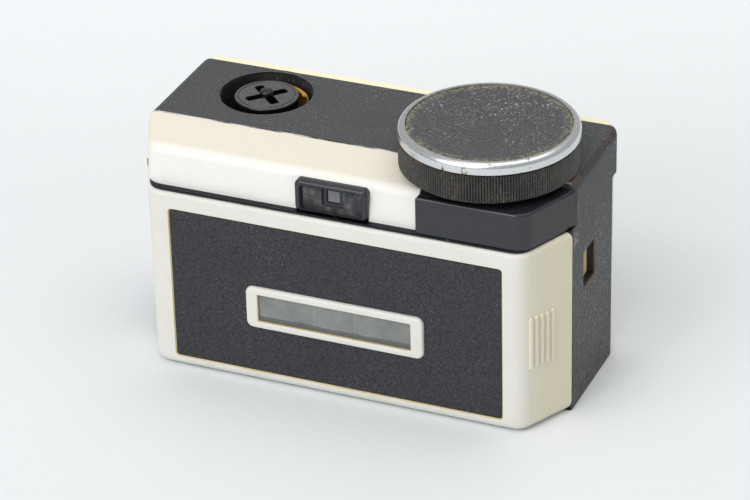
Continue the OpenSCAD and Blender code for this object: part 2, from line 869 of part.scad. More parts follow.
// Push piece in the right side that frees the door
module door_release()
    color(cream) {
        block([half_w - latch_deep - latch_t, latch_y - latch_w / 2 + part_gap,
            latch_z - latch_h / 2 + part_gap],
            [half_w - latch_deep, latch_y + latch_w / 2 - part_gap, latch_z + latch_h / 2 - part_gap]);
        block([latch_in_x, latch_y - latch_w / 2 - latch_flange, latch_z - latch_h / 2 - latch_flange],
            [latch_in_x + latch_flange_t, latch_y + latch_w / 2 + latch_flange,
                latch_z + latch_h / 2 + latch_flange]);
    }

module release_leaf()
    color(steel)
        translate([0, latch_y + leaf_w / 2, 0])
            rotate([90, 0, 0])
                linear_extrude(leaf_w)
                    polygon([[shell_half - wall, leaf_bend_z], [shell_half - wall, leaf_high_z],
                        [shell_half - wall - leaf_t, leaf_high_z],
                        [shell_half - wall - leaf_t, leaf_bend_z + leaf_t],
                        [leaf_x, leaf_bend_z + leaf_t], [leaf_x, leaf_low_z],
                        [leaf_x + leaf_t, leaf_low_z], [leaf_x + leaf_t, leaf_bend_z]]);

// Thin plate between the lower body and the upper housing, with a lip over the door
module deck_plate()
    color(black)
        difference() {
            intersection() {
                slab(upper_outline(deck_inset, back_y + deck_inset, roof_y1 - part_gap,
                    bend_r - deck_inset), deck_z, upper_z);
                slab(front_outline(trim_t + shim, back_y, roof_y1 - part_gap, cheek_r), deck_z, upper_z);
            }
            rod([spool_x, spool_y], spool_shaft_r + run_gap, deck_z - cut, upper_z + cut);
            rod([knob_x, knob_y], arbor_r + run_gap, deck_z - cut, upper_z + cut);
            rod([flash_x, flash_y], drum_shaft_r + run_gap, deck_z - cut, upper_z + cut);
            for (p = post_spots)
                rod(p, house_screw_r + run_gap, deck_z - cut, upper_z + cut);
        }

// Outline of the upper housing seen along its depth: a roof with rounded ends, and two cheeks
function roof_outline() =
    rounded([[-half_w, upper_z], [-half_w + wall, upper_z], [-half_w + wall, roof_under],
        [half_w - wall, roof_under], [half_w - wall, upper_z], [half_w, upper_z], [half_w, roof_top],
        [-half_w, roof_top]], [0, 0, 0, 0, 0, 0, roof_r, roof_r]);

// Upper housing: roof and cheeks with rounded front corners, skirts below the cheeks and posts for screws
module top_housing()
    color(black)
        difference() {
            union() {
                intersection() {
                    upright(roof_outline(), roof_y0, roof_y1);
                    slab(front_outline(0, roof_y0 - cut, roof_y1, cheek_r), upper_z - cut, body_h);
                }
                for (s = [-1, 1])
                    for (skirt = [[trim_y0(s), upper_z - shim], [roof_y0, upper_z + eps]])
                        block([min(s * half_w, s * shell_half), skirt[0], trim_z1],
                            [max(s * half_w, s * shell_half), side_y1 - part_gap, skirt[1]]);
                for (p = post_spots)
                    rod(p, post_col_r, upper_z, roof_under + eps);
                rod([knob_x, knob_y], bush_boss_r, roof_under, roof_top);
            }
            rod([flash_x, flash_y], well_r + cup_t + fit_gap, roof_under - cut, roof_top + cut);
            rod([knob_x, knob_y], bush_r + fit_gap, roof_under - cut, roof_top + cut);
            for (p = post_spots) {
                rod(p, house_screw_r + run_gap, upper_z - cut, roof_top + cut);
                rod(p, house_head_r + run_gap, roof_top - house_head_t, roof_top + cut);
            }
        }

module top_trim()
    color(grain)
        difference() {
            slab(front_outline(roof_r, roof_y0, roof_y1, cover_r), roof_top, body_h);
            rod([flash_x, flash_y], well_r, roof_top - cut, body_h + cut);
            rod([knob_x, knob_y], bush_flange_r + part_gap, roof_top - cut, body_h + cut);
        }

module housing_screws()
    color(steel)
        for (p = post_spots) {
            rod(p, house_screw_r, ceil_z + part_gap, roof_top - house_head_t + eps);
            rod(p, house_head_r, roof_top - house_head_t, roof_top - shim);
        }

// Depth of the rear panel's leaning face at a height
function panel_face(z) = panel_y - panel_lean * (ridge_z - z) / (ridge_z - upper_z);

// Side profile of the pale rear panel: a leaning face, a rounded ridge and a gently rising shoulder
function panel_profile(inset, y1) =
    rounded([[panel_face(upper_z - cut) + inset, upper_z - cut], [y1, upper_z - cut],
        [y1, body_h - inset], [roof_y0, body_h - inset], [panel_y + inset, ridge_z - inset]],
        [0, 0, 0, 0, ridge_r]);

module rear_panel()
    color(cream)
        difference() {
            intersection() {
                slab(upper_outline(0, panel_y - panel_lean, roof_y0 - block_gap, bend_r), upper_z,
                    body_h + cut);
                drawn(panel_profile(0, side_y1), -body_w, panel_x1 - block_gap);
            }
            intersection() {
                slab(upper_outline(panel_t, panel_y - panel_lean + panel_t, roof_y0 + cut,
                    bend_r - panel_t), upper_z - cut, body_h);
                drawn(panel_profile(panel_t, side_y1), -body_w, panel_x1 + cut);
            }
            block([eye_x0 - fit_gap, panel_y - panel_lean - cut, upper_z - cut],
                [eye_x1 + fit_gap, eye_y1 + cut, eye_z0 + eye_h + fit_gap]);
        }

// Glossy casing over the rear half of the spring motor
module motor_housing()
    color(gloss)
        difference() {
            intersection() {
                slab(upper_outline(0, block_y, roof_y0 - block_gap, bend_r), upper_z, block_z1);
                block([panel_x1, block_y - cut, upper_z - cut], [half_w + cut, roof_y0, block_z1 + cut]);
            }
            intersection() {
                slab(upper_outline(wall, block_y + wall, roof_y0 + cut, bend_r - wall), upper_z - cut,
                    block_under);
                block([panel_x1 + wall, block_y, upper_z - cut], [half_w, roof_y0, block_under]);
            }
            rod([knob_x, knob_y], barrel_r + 2 * move_gap, upper_z - cut, block_under);
            rod([knob_x, knob_y], bush_boss_r + block_gap, upper_z, body_h);
        }

// Eyepiece: a frame with a square stepped sight hole
module eyepiece_frame()
    color(gloss)
        difference() {
            upright(box_outline(eye_x0, eye_x1, eye_z0, eye_z0 + eye_h, eye_r), eye_y0, eye_y1);
            block([eye_x0 + eye_rim_x, eye_y0 - cut, eye_z0 + eye_sill],
                [eye_x1 - eye_rim_x, eye_y0 + eye_dish, eye_z0 + eye_h - eye_rim_z]);
            block([eye_x - sight_w / 2, eye_y0 - cut, sight_z - sight_w / 2],
                [eye_x + sight_w / 2, eye_y0 + funnel_d, sight_z + sight_w / 2]);
            block([eye_x - eye_glass_w / 2, eye_y0 - cut, sight_z - eye_glass_w / 2],
                [eye_x + eye_glass_w / 2, eye_y1 + cut, sight_z + eye_glass_w / 2]);
        }

module eyepiece_lens()
    color(clear)
        block([eye_x - eye_glass_w / 2 + fit_gap, eye_glass_y, sight_z - eye_glass_w / 2 + fit_gap],
            [eye_x + eye_glass_w / 2 - fit_gap, eye_glass_y + eye_glass_t,
                sight_z + eye_glass_w / 2 - fit_gap]);

module finder_tube()
    color(black)
        difference() {
            block([-finder_half, eye_y1, upper_z], [finder_half, brow_y - wall, upper_z + finder_h]);
            block([-finder_half + finder_t, eye_y1 - cut, upper_z + finder_t],
                [finder_half - finder_t, brow_y + cut, upper_z + finder_h - finder_t]);
        }

module finder_window()
    color(clear)
        upright(box_outline(-finder_win_w / 2 + fit_gap, finder_win_w / 2 - fit_gap,
            sight_z - finder_win_h / 2 + fit_gap,
            sight_z + finder_win_h / 2 - fit_gap, finder_win_r), brow_y - wall,
                brow_y - wall + finder_win_t);

// Round well that a flash cube drops into
module flash_cup()
    color(black)
        difference() {
            rod([flash_x, flash_y], well_r + cup_t, cup_z0, roof_top);
            rod([flash_x, flash_y], well_r, cup_z0 + cup_floor, roof_top + cut);
            rod([flash_x, flash_y], drum_shaft_r + run_gap, cup_z0 - cut, cup_z0 + cup_floor + cut);
        }

module flash_contacts()
    color(brass)
        for (a = contact_angles)
            translate([flash_x, flash_y, cup_z0 + cup_floor])
                rotate([0, 0, a]) {
                    block([contact_r, -contact_w / 2, 0],
                        [contact_r + contact_t, contact_w / 2, contact_h]);
                    block([contact_r - contact_lip, -contact_w / 2, contact_h - contact_t],
                        [contact_r + eps, contact_w / 2, contact_h]);
                    block([contact_r - contact_lip, -contact_w / 2, 0],
                        [well_r - contact_gap, contact_w / 2, contact_t]);
                }

// Turning drum with a cross cut and a centre post
module flash_drum()
    color(black)
        difference() {
            union() {
                rod([flash_x, flash_y], drum_r, drum_z0, drum_z1);
                rod([flash_x, flash_y], drum_shaft_r, deck_z + shim, drum_z0 + eps);
                rod([flash_x, flash_y], post_r, drum_z0, post_z1 - post_neck_h);
                rod([flash_x, flash_y], post_r - post_neck, post_z1 - post_neck_h - eps, post_z1);
            }
            difference() {
                translate([flash_x, flash_y, 0])
                    for (k = [0, 90])
                        rotate([0, 0, cross_a + k])
                            block([-cross_l, -cross_w / 2, drum_z1 - cross_d],
                                [cross_l, cross_w / 2, drum_z1 + eps]);
                rod([flash_x, flash_y], post_r, drum_z0, post_z1);
            }
        }

// Four-sided wheel under the well that stops the drum at each quarter turn
module index_wheel()
    color(steel)
        difference() {
            intersection() {
                rod([flash_x, flash_y], index_r, index_z0, index_z0 + index_h);
                translate([flash_x, flash_y, index_z0])
                    rotate([0, 0, cross_a])
                        block([-index_flat, -index_flat, -cut], [index_flat, index_flat, index_h + cut]);
            }
            rod([flash_x, flash_y], drum_shaft_r + fit_gap, upper_z - cut, cup_z0);
        }

module detent_spring()
    color(steel)
        translate([flash_x, flash_y + index_r + detent_gap, upper_z]) {
            block([-detent_l / 2, 0, 0], [detent_l / 2, detent_t, index_h + part_gap]);
            block([-detent_l / 2, 0, 0], [-detent_l / 2 + detent_foot, detent_foot, detent_t]);
        }

module arbor_bush()
    color(brass)
        difference() {
            union() {
                rod([knob_x, knob_y], bush_r, roof_under, roof_top + eps);
                rod([knob_x, knob_y], bush_flange_r, roof_top, roof_top + bush_flange_t);
            }
            rod([knob_x, knob_y], arbor_top_r + run_gap, roof_under - cut, body_h + cut);
        }

module winding_arbor()
    color(steel)
        difference() {
            union() {
                rod([knob_x, knob_y], arbor_r, deck_z + shim, shoulder_z + eps);
                rod([knob_x, knob_y], arbor_top_r, shoulder_z, arbor_z1);
            }
            rod([knob_x, knob_y], knob_screw_r + fit_gap, arbor_z1 - tap_d, arbor_z1 + cut);
        }

// Drum of the spring motor with its driving pinion below
module spring_barrel()
    color(brass)
        difference() {
            union() {
                rod([knob_x, knob_y], barrel_r, barrel_z0, barrel_z1);
                translate([knob_x, knob_y, 0])
                    rotate([0, 0, mesh_a])
                        slab(gear_outline(barrel_teeth, gear_m), gear_z0, barrel_z0 + eps);
            }
            rod([knob_x, knob_y], barrel_r - barrel_wall, barrel_z0 + barrel_floor, barrel_z1 + cut);
            rod([knob_x, knob_y], arbor_r + run_gap, upper_z - cut, barrel_z1);
        }

module barrel_cover()
    color(brass)
        difference() {
            rod([knob_x, knob_y], barrel_r, barrel_z1, barrel_z1 + cover_t);
            rod([knob_x, knob_y], arbor_r + run_gap, barrel_z1 - cut, barrel_z1 + cover_t + cut);
        }

module mainspring()
    color(steel)
        translate([knob_x, knob_y, 0])
            slab(spiral_outline(spring_r0, spring_r1, spring_turns, spring_t),
                barrel_z0 + barrel_floor + part_gap, barrel_z1 - part_gap);

// Gear and shaft that turn the cartridge's take-up spool through a two-bladed fork
module take_up_fork()
    color(steel) {
        translate([spool_x, spool_y, 0])
            rotate([0, 0, mesh_a + 180 + 180 / spool_teeth])
                slab(gear_outline(spool_teeth, gear_m), gear_z0, gear_z0 + gear_h);
        rod([spool_x, spool_y], spool_shaft_r, fork_z1 - eps, gear_z0 + eps);
        rod([spool_x, spool_y], fork_r, fork_z0, fork_z1);
        block([spool_x - fork_r + fork_inset, spool_y - fork_blade / 2, fork_z0 - fork_l],
            [spool_x + fork_r - fork_inset, spool_y + fork_blade / 2, fork_z0 + eps]);
    }

// Knob: a knurled skirt, a web, a hub on the arbor and a platform for the disc
module knob_body()
    color(black)
        difference() {
            union() {
                difference() {
                    translate([knob_x, knob_y, 0])
                        slab(knurl_outline(knob_r, knurl_d, knurl_count), knob_z0, knob_z1);
                    rod([knob_x, knob_y], knob_r - knob_wall, knob_z0 - cut, knob_z1 - knob_web);
                }
                rod([knob_x, knob_y], hub_r, knob_z0 + hub_gap, knob_z1);
                rod([knob_x, knob_y], disc_r - part_gap, knob_z1 - eps, platform_z);
            }
            rod([knob_x, knob_y], arbor_top_r + fit_gap, knob_z0 - cut, arbor_z1);
            rod([knob_x, knob_y], knob_screw_r + run_gap, knob_z0 - cut, platform_z + cut);
            rod([knob_x, knob_y], screw_head_r + run_gap, platform_z - screw_head_h, platform_z + cut);
        }

module knob_ring()
    color(steel)
        translate([knob_x, knob_y, 0])
            rotate_extrude()
                polygon(rounded([[disc_r, knob_z1], [knob_r, knob_z1], [knob_r, ring_z1],
                    [disc_r, ring_z1]],
                    [0, 0, ring_r, ring_lip_r], 4));

module knob_disc()
    color(grain)
        rod([knob_x, knob_y], disc_r - fit_gap, platform_z, platform_z + disc_t);

module knob_screw()
    color(steel)
        difference() {
            union() {
                rod([knob_x, knob_y], knob_screw_r, arbor_z1 - knob_screw_l,
                    platform_z - screw_head_h + eps);
                rod([knob_x, knob_y], screw_head_r, platform_z - screw_head_h, platform_z - shim);
            }
            block([knob_x - driver_l / 2, knob_y - driver_w / 2, platform_z - driver_d],
                [knob_x + driver_l / 2, knob_y + driver_w / 2, platform_z]);
        }

// Pale front: a shallow lower shell, a brow above it, and the shelf for the release spring
module front_cover()
    color(cream)
        difference() {
            union() {
                difference() {
                    slab(front_outline(0, side_y1, front_y, front_r), base_t, deck_z);
                    slab(front_outline(wall, side_y1 - cut, front_y - wall, front_r - wall), base_t - cut,
                        deck_z + cut);
                }
                difference() {
                    slab(front_outline(brow_end, roof_y1, brow_y, brow_r), ceil_z, body_h);
                    block([-brow_x + wall, roof_y1 - cut, deck_z],
                        [brow_x - wall, brow_y - wall, body_h - wall]);
                }
                block([-half_w + brow_in, front_y - wall, ceil_z],
                    [half_w - brow_in, roof_y1 + brow_lap, deck_z]);
                block([release_x - shelf_w / 2, coil_y - foot_half, shelf_z - shelf_t],
                    [release_x + shelf_w / 2, front_y - wall + eps, shelf_z]);
                rod([release_x, coil_y], peg_r, shelf_z - eps, shelf_z + peg_h);
            }
            rod_y(0, film_z, lens_tube_r + fit_gap, side_y1 - cut, brow_y);
            block([release_x - slot_w / 2, side_y1, release_z - release_travel - slot_up],
                [release_x + slot_w / 2, front_y + cut, release_z + slot_up]);
            block([-finder_win_w / 2 + finder_lip, brow_y - wall - cut,
                sight_z - finder_win_h / 2 + finder_lip],
                [finder_win_w / 2 - finder_lip, brow_y + cut, sight_z + finder_win_h / 2 - finder_lip]);
            upright(box_outline(-finder_win_w / 2, finder_win_w / 2, sight_z - finder_win_h / 2,
                sight_z + finder_win_h / 2, finder_win_r),
                brow_y - wall - cut, brow_y - wall + finder_win_t);
            front_seat(inlay_seat);
            rod([flash_x, flash_y], well_r + cup_t + part_gap, deck_z, body_h + cut);
        }

// Recess on the lower front for the covering sheet
module front_seat(depth)
    upright(box_outline(-half_w + seat_in, half_w - seat_in, seat_z, deck_z - seat_z, inlay_r),
        front_y - depth, front_y + cut);

module front_trim()
    color(grain)
        difference() {
            upright(box_outline(-half_w + seat_in + inlay_hole, half_w - seat_in - inlay_hole,
                seat_z + inlay_hole, deck_z - seat_z - inlay_hole, inlay_r),
                front_y - inlay_seat, front_y - inlay_seat + trim_t);
            rod_y(0, film_z, lens_tube_r + part_gap, front_y - 2 * cut, front_y + cut);
            block([release_x - slot_w / 2, front_y - 2, release_z - release_travel - slot_up],
                [release_x + slot_w / 2, front_y + cut, release_z + slot_up]);
        }

// Lens tube with a flange on the front and seats for the two lenses
module lens_barrel()
    color(black)
        difference() {
            union() {
                rod_y(0, film_z, lens_tube_r, tube_y0, tube_y1);
                rod_y(0, film_z, flange_r, front_y - inlay_seat + trim_t,
                    front_y - inlay_seat + trim_t + flange_t);
            }
            rod_y(0, film_z, front_glass_r + glass_wall, front_seat_y, tube_y1 + cut);
            rod_y(0, film_z, throat_r, tube_y0 - cut, tube_y1);
            rod_y(0, film_z, rear_glass_r + fit_gap, tube_y0 - cut, tube_y0 + rear_seat_l);
            rod_y(0, film_z, front_glass_r - seat_lip, front_seat_y - front_glass_l, tube_y1);
        }

module lens_ring()
    color(steel)
        translate([0, 0, film_z])
            rotate([-90, 0, 0])
                rotate_extrude()
                    polygon([[front_glass_r - bezel_lip, ring_y1 - bezel_t + bezel_lip],
                        [front_glass_r + glass_wall, ring_y1 - bezel_t],
                        [lens_tube_r, ring_y1 - bezel_t], [lens_tube_r, ring_y1 - bezel_lip],
                        [lens_tube_r - bezel_lip, ring_y1], [lens_tube_r - 2 * bezel_lip, ring_y1]]);

module lens_retainer()
    color(black)
        difference() {
            rod_y(0, film_z, front_glass_r + glass_wall - fit_gap, front_seat_y,
                front_seat_y + retainer_t + front_glass_l);
            rod_y(0, film_z, front_glass_r + fit_gap, front_seat_y + retainer_t,
                front_seat_y + retainer_t + front_glass_l + cut);
            rod_y(0, film_z, front_glass_r - seat_lip, front_seat_y - cut,
                front_seat_y + retainer_t + cut);
        }

// Half section of a lens with a flat back and a domed face
function dome_section(r, t, bow) =
    let (ball = (r * r + bow * bow) / (2 * bow))
    let (a1 = asin(r / ball))
    concat([[0, 0], [r, 0]],
        [for (k = [0 : 8]) [ball * sin(a1 * (8 - k) / 8), t - ball + ball * cos(a1 * (8 - k) / 8)]]);

// Lens with its flat back at depth y, domed toward the front for +1 and toward the back for -1
module dome_glass(r, y, t, toward)
    translate([0, y, film_z])
        rotate([-90 * toward, 0, 0])
            rotate_extrude()
                polygon(dome_section(r, t, glass_bow));

module front_lens()
    color(clear)
        dome_glass(front_glass_r, front_seat_y + retainer_t, front_glass_l, 1);

module rear_lens()
    color(clear)
        dome_glass(rear_glass_r, tube_y0 + rear_seat_l, rear_glass_l, -1);

module shutter_plate()
    color(steel)
        difference() {
            block([-box_half, plate_y0, film_z - box_half],
                [box_half, plate_y0 + shutter_t, film_z + box_half]);
            rod_y(0, film_z, stop_r, plate_y0 - cut, blade_y0);
            rod_y(blade_pin[0], film_z + blade_pin[1], blade_pin_r + fit_gap, plate_y0 - cut, blade_y0);
            for (x = [-shutter_screw, shutter_screw])
                for (z = [-shutter_screw, shutter_screw])
                    rod_y(x, film_z + z, shutter_screw_r + run_gap, plate_y0 - cut, blade_y0);
        }

module shutter_screws()
    color(steel)
        for (x = [-shutter_screw, shutter_screw])
            for (z = [-shutter_screw, shutter_screw]) {
                rod_y(x, film_z + z, shutter_screw_r, plate_y0 - shutter_screw_l + screw_room,
                    plate_y0 + shutter_t + eps);
                rod_y(x, film_z + z, shutter_head_r, plate_y0 + shutter_t,
                    plate_y0 + shutter_t + shutter_head_t);
            }

// Single swinging blade that covers the aperture at rest
module shutter_blade()
    color(gloss)
        difference() {
            union() {
                rod_y(0, film_z, blade_r, blade_y0, blade_y0 + blade_t);
                rod_y(blade_pin[0], film_z + blade_pin[1], blade_boss_r, blade_y0, blade_y0 + blade_t);
                translate([0, 0, film_z])
                    rotate([0, -atan2(blade_pin[1], blade_pin[0]), 0])
                        block([0, blade_y0, -blade_arm_w / 2],
                            [norm(blade_pin), blade_y0 + blade_t, blade_arm_w / 2]);
            }
            rod_y(blade_pin[0], film_z + blade_pin[1], blade_pin_r + run_gap, blade_y0 - cut,
                blade_y0 + cut);
        }

module blade_pivot()
    color(steel) {
        rod_y(blade_pin[0], film_z + blade_pin[1], blade_pin_r, plate_y0, pin_head_y + eps);
        rod_y(blade_pin[0], film_z + blade_pin[1], pin_head_r, pin_head_y, pin_head_y + pin_head_t);
    }

// Thumb piece outside, shank through the slot and guide plate inside
module shutter_release()
    color(gloss) {
        upright(box_outline(release_x - thumb_w / 2, release_x + thumb_w / 2, release_z - thumb_h / 2,
            release_z + thumb_h / 2, thumb_r),
            front_y + thumb_gap, front_y + thumb_out);
        block([release_x - slot_w / 2 + part_gap, slide_y1 - eps, release_z - slot_up + part_gap],
            [release_x + slot_w / 2 - part_gap, front_y + thumb_gap + eps,
                release_z + slot_up - part_gap]);
        block([release_x - slide_w / 2, slide_y0, release_z - slide_h / 2],
            [release_x + slide_w / 2, slide_y1, release_z + slide_h / 2]);
        block([release_x - foot_half, coil_y - foot_half, release_z - slide_h / 2],
            [release_x + foot_half, slide_y1, release_z - slide_h / 2 + foot_t]);
    }

// Coil spring under the release, from the shelf to the guide plate
function coil_path(r, z0, z1, turns) =
    [for (i = [0 : 12 * turns])
        [release_x + r * cos(30 * i), coil_y + r * sin(30 * i), z0 + (z1 - z0) * i / (12 * turns)]];

module return_spring()
    color(steel)
        tube(coil_path(coil_r, shelf_z + spring_wire_r + coil_gap,
            release_z - slide_h / 2 - spring_wire_r - coil_gap, coil_turns), spring_wire_r, wire_sides);

// Sprung pin that drops into the film's perforation
module film_feeler()
    color(steel) {
        rod_y(feeler_x, feeler_z, feeler_r, gate_y - feeler_out, spool_y + part_gap + eps);
        block([feeler_x - feeler_w / 2, spool_y + part_gap, film_z + box_half + part_gap],
            [feeler_x + feeler_w / 2, spool_y + part_gap + feeler_l,
                film_z + box_half + part_gap + feeler_h]);
    }

module feeler_leaf()
    color(brass)
        block([feeler_x - leaf_w / 2, feeler_leaf_y, film_z + box_half + shim],
            [feeler_x + leaf_w / 2, feeler_leaf_y + leaf_t, feeler_z + leaf_over]);

base_plate();
base_screws();
tripod_bush();
body_shell();
film_chamber();
side_trim_left();
side_trim_right();
hinge_pin();
rear_door();
door_inlay();
window_pane();
cartridge_springs();
door_release();
release_leaf();
deck_plate();
top_housing();
top_trim();
housing_screws();
rear_panel();
motor_housing();
eyepiece_frame();
eyepiece_lens();
finder_tube();
finder_window();
flash_cup();
flash_contacts();
flash_drum();
index_wheel();
detent_spring();
arbor_bush();
winding_arbor();
spring_barrel();
barrel_cover();
mainspring();
take_up_fork();
knob_body();
knob_ring();
knob_disc();
knob_screw();
front_cover();
front_trim();
lens_barrel();
lens_ring();
lens_retainer();
front_lens();
rear_lens();
shutter_plate();
shutter_screws();
shutter_blade();
blade_pivot();
shutter_release();
return_spring();
film_feeler();
feeler_leaf();
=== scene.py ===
"""A cartridge film camera with a clockwork winding knob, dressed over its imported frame.

Lengths are millimetres in the part's own frame, and become metres as a mesh is made: +X is to the
right seen from behind, +Y toward the lens and +Z up.
"""
import json
from math import atan2, cos, pi, radians, sin, sqrt, tan

import bmesh
import bpy
from mathutils import Matrix, Vector


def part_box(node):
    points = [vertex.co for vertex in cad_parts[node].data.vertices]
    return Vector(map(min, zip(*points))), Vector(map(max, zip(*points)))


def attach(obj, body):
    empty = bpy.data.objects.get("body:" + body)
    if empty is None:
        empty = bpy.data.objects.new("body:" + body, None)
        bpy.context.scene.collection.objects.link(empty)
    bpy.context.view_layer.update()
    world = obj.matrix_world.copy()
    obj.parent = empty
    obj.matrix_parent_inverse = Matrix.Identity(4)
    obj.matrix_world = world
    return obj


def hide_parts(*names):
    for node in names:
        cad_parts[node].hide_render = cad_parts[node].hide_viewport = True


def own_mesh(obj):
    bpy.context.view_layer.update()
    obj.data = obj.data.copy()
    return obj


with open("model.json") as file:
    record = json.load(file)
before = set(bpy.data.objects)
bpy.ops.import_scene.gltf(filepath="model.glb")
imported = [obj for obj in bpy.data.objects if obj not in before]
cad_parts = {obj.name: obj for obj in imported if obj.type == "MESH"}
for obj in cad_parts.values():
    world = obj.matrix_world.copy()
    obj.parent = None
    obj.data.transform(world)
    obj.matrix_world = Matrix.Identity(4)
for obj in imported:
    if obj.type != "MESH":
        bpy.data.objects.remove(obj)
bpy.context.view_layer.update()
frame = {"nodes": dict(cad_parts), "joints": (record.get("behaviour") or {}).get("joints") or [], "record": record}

MM = 0.001
SHARP = radians(32)  # edges steeper than this stay sharp
FAR, REACH, OVER = 80, 20, 1  # how far cutting volumes stand past what they cut
CORE = 0.01  # radius at which a solid lathe profile starts and ends


def node_box(node):
    """Lowest and highest corner of a CAD node, in millimetres."""
    low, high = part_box(node)
    return low / MM, high / MM


def joint_at(name):
    """Place of a joint's axis, in millimetres."""
    return Vector(next(j for j in frame["joints"] if j["name"] == name)["pos_m"]) / MM


# Planes and axes of the casing, from the frame
door_low, door_high = node_box("rear_door")
pane_low, pane_high = node_box("window_pane")
trim_low, trim_high = node_box("top_trim")
panel_low, panel_high = node_box("rear_panel")
block_low, block_high = node_box("motor_housing")
front_low, front_high = node_box("front_cover")
cup_low, cup_high = node_box("flash_cup")
hinge, knob, flash = joint_at("door_hinge"), joint_at("knob_wind"), joint_at("drum_turn")
hinge_axis, knob_axis, flash_axis = (hinge.x, hinge.y), (knob.x, knob.y), (flash.x, flash.y)

# Sizes that the frame doesn't give, and planes worked out with them
wall, bend_r, front_r, lip = 1.8, 5.0, 5, 0.3
skin_gap, deck_t, pivot_up = 0.4, 0.6, 7
half_w, back_half = door_high.x, 48.7
back_y = pane_low.y
side_y = node_box("side_trim_right")[0].y - skin_gap
roof_y0, roof_y1 = trim_low.y, trim_high.y
front_y0, front_y = roof_y1 - front_r, roof_y1
brow_y = front_high.y
upper_z, roof_z = panel_low.z, trim_high.z
deck_z = upper_z - deck_t
film_z = joint_at("blade_swing").z - pivot_up
slant = (half_w - back_half) / (side_y - back_y)
upper_slant = (half_w - back_half) / (roof_y0 - back_y)
cup_r = cup_high.x - flash.x


# Outlines are lists of 2-D points, counter-clockwise

def rounded(corners, radii, steps=6):
    """An outline with each corner drawn as an arc of its own radius."""
    points = []
    for i, corner in enumerate(corners):
        at = Vector(corner)
        if radii[i] == 0:
            points.append(at)
            continue
        before = (Vector(corners[i - 1]) - at).normalized()
        after = (Vector(corners[(i + 1) % len(corners)]) - at).normalized()
        half = before.angle(after) / 2
        centre = at + (before + after).normalized() * radii[i] / sin(half)
        start = at + before * radii[i] / tan(half) - centre
        end = at + after * radii[i] / tan(half) - centre
        turn = (atan2(end.y, end.x) - atan2(start.y, start.x) + pi) % (2 * pi) - pi
        points += [centre + Matrix.Rotation(turn * k / steps, 2) @ start for k in range(steps + 1)]
    return points


def box_outline(x0, x1, y0, y1, r, steps=6):
    return rounded([(x0, y0), (x1, y0), (x1, y1), (x0, y1)], [r] * 4, steps)


def box_face(low, high, grow, r):
    """Outline of a box seen along Y, grown by a distance."""
    return box_outline(low.x - grow, high.x + grow, low.z - grow, high.z + grow, r)


def circle(r, count):
    turn = 2 * pi / count
    return [Vector((r * cos(turn * i), r * sin(turn * i))) for i in range(count)]


def inset(outline, depth, shares=None):
    """The outline moved inward by a depth, times each edge's share of it where shares are given."""
    count = len(outline)
    edges = [outline[(i + 1) % count] - outline[i] for i in range(count)]
    normals = [Vector((-e.y, e.x)).normalized() for e in edges]
    depths = [depth * (shares[i] if shares else 1) for i in range(count)]
    moved = []
    for i, point in enumerate(outline):
        n0, n1 = normals[i - 1], normals[i]
        cross = n0.x * n1.y - n0.y * n1.x
        if abs(cross) < 1e-4:
            moved.append(point + n1 * depths[i])
            continue
        a, b = n0.dot(point) + depths[i - 1], n1.dot(point) + depths[i]
        moved.append(Vector((a * n1.y - b * n0.y, b * n0.x - a * n1.x)) / cross)
    return moved


def quarter(steps):
    """Angles of a quarter turn in equal steps."""
    return [pi / 2 * k / steps for k in range(steps + 1)]


# Ways to place an outline's point at a height

def flat(p, z):
    return Vector((p[0], p[1], z))


def upright(p, y):
    return Vector((p[0], y, p[1]))


# Solids

def loft(name, rings, closed=False, tint=None):
    """A skin over rings of equal length, capped at both ends or closed into a loop.

    tint gives the material index of each band between two rings.
    """
    bm = bmesh.new()
    loops = [[bm.verts.new(p * MM) for p in ring] for ring in rings]
    bands = list(zip(loops, loops[1:] + loops[:1])) if closed else list(zip(loops, loops[1:]))
    for k, (low, high) in enumerate(bands):
        for i in range(len(low)):
            j = (i + 1) % len(low)
            face = bm.faces.new((low[i], low[j], high[j], high[i]))
            face.material_index = tint[k] if tint else 0
    if not closed:
        bm.faces.new(loops[0][::-1])
        bm.faces.new(loops[-1])
    bmesh.ops.recalc_face_normals(bm, faces=bm.faces)
    made = bpy.data.objects.new(name, bpy.data.meshes.new(name))
    bm.to_mesh(made.data)
    bm.free()
    bpy.context.scene.collection.objects.link(made)
    return made


def slab(name, outline, z0, z1, r0=0.0, r1=0.0, shares=None, place=flat):
    """An outline drawn out between two heights, with rounded lower and upper edges."""
    turns = quarter(5)
    levels = [(r0 * (1 - sin(a)), z0 + r0 * (1 - cos(a))) for a in turns] if r0 else [(0, z0)]
    levels += [(r1 * (1 - cos(a)), z1 - r1 * (1 - sin(a))) for a in turns] if r1 else [(0, z1)]
    return loft(name, [[place(p, z) for p in inset(outline, d, shares)] for d, z in levels])


def flared(name, outline, levels):
    """An upright outline drawn out along Y through (depth inward, y) levels."""
    return loft(name, [[upright(p, y) for p in inset(outline, d)] for d, y in levels])


def block(name, low, high, edge=0.0):
    """A box with rounded lower and upper edges."""
    corners = ((low[0], low[1]), (high[0], low[1]), (high[0], high[1]), (low[0], high[1]))
    return slab(name, [Vector(p) for p in corners], low[2], high[2], edge, edge)


def lathe(name, profile, centre, count=96, place=flat, closed=False):
    """A profile of (radius, height) pairs turned about an axis through a centre."""
    rings, least = [], 0.001
    for r, h in profile:
        points = circle(max(r, least), count)
        rings.append([place((centre[0] + p.x, centre[1] + p.y), h) for p in points])
    return loft(name, rings, closed)


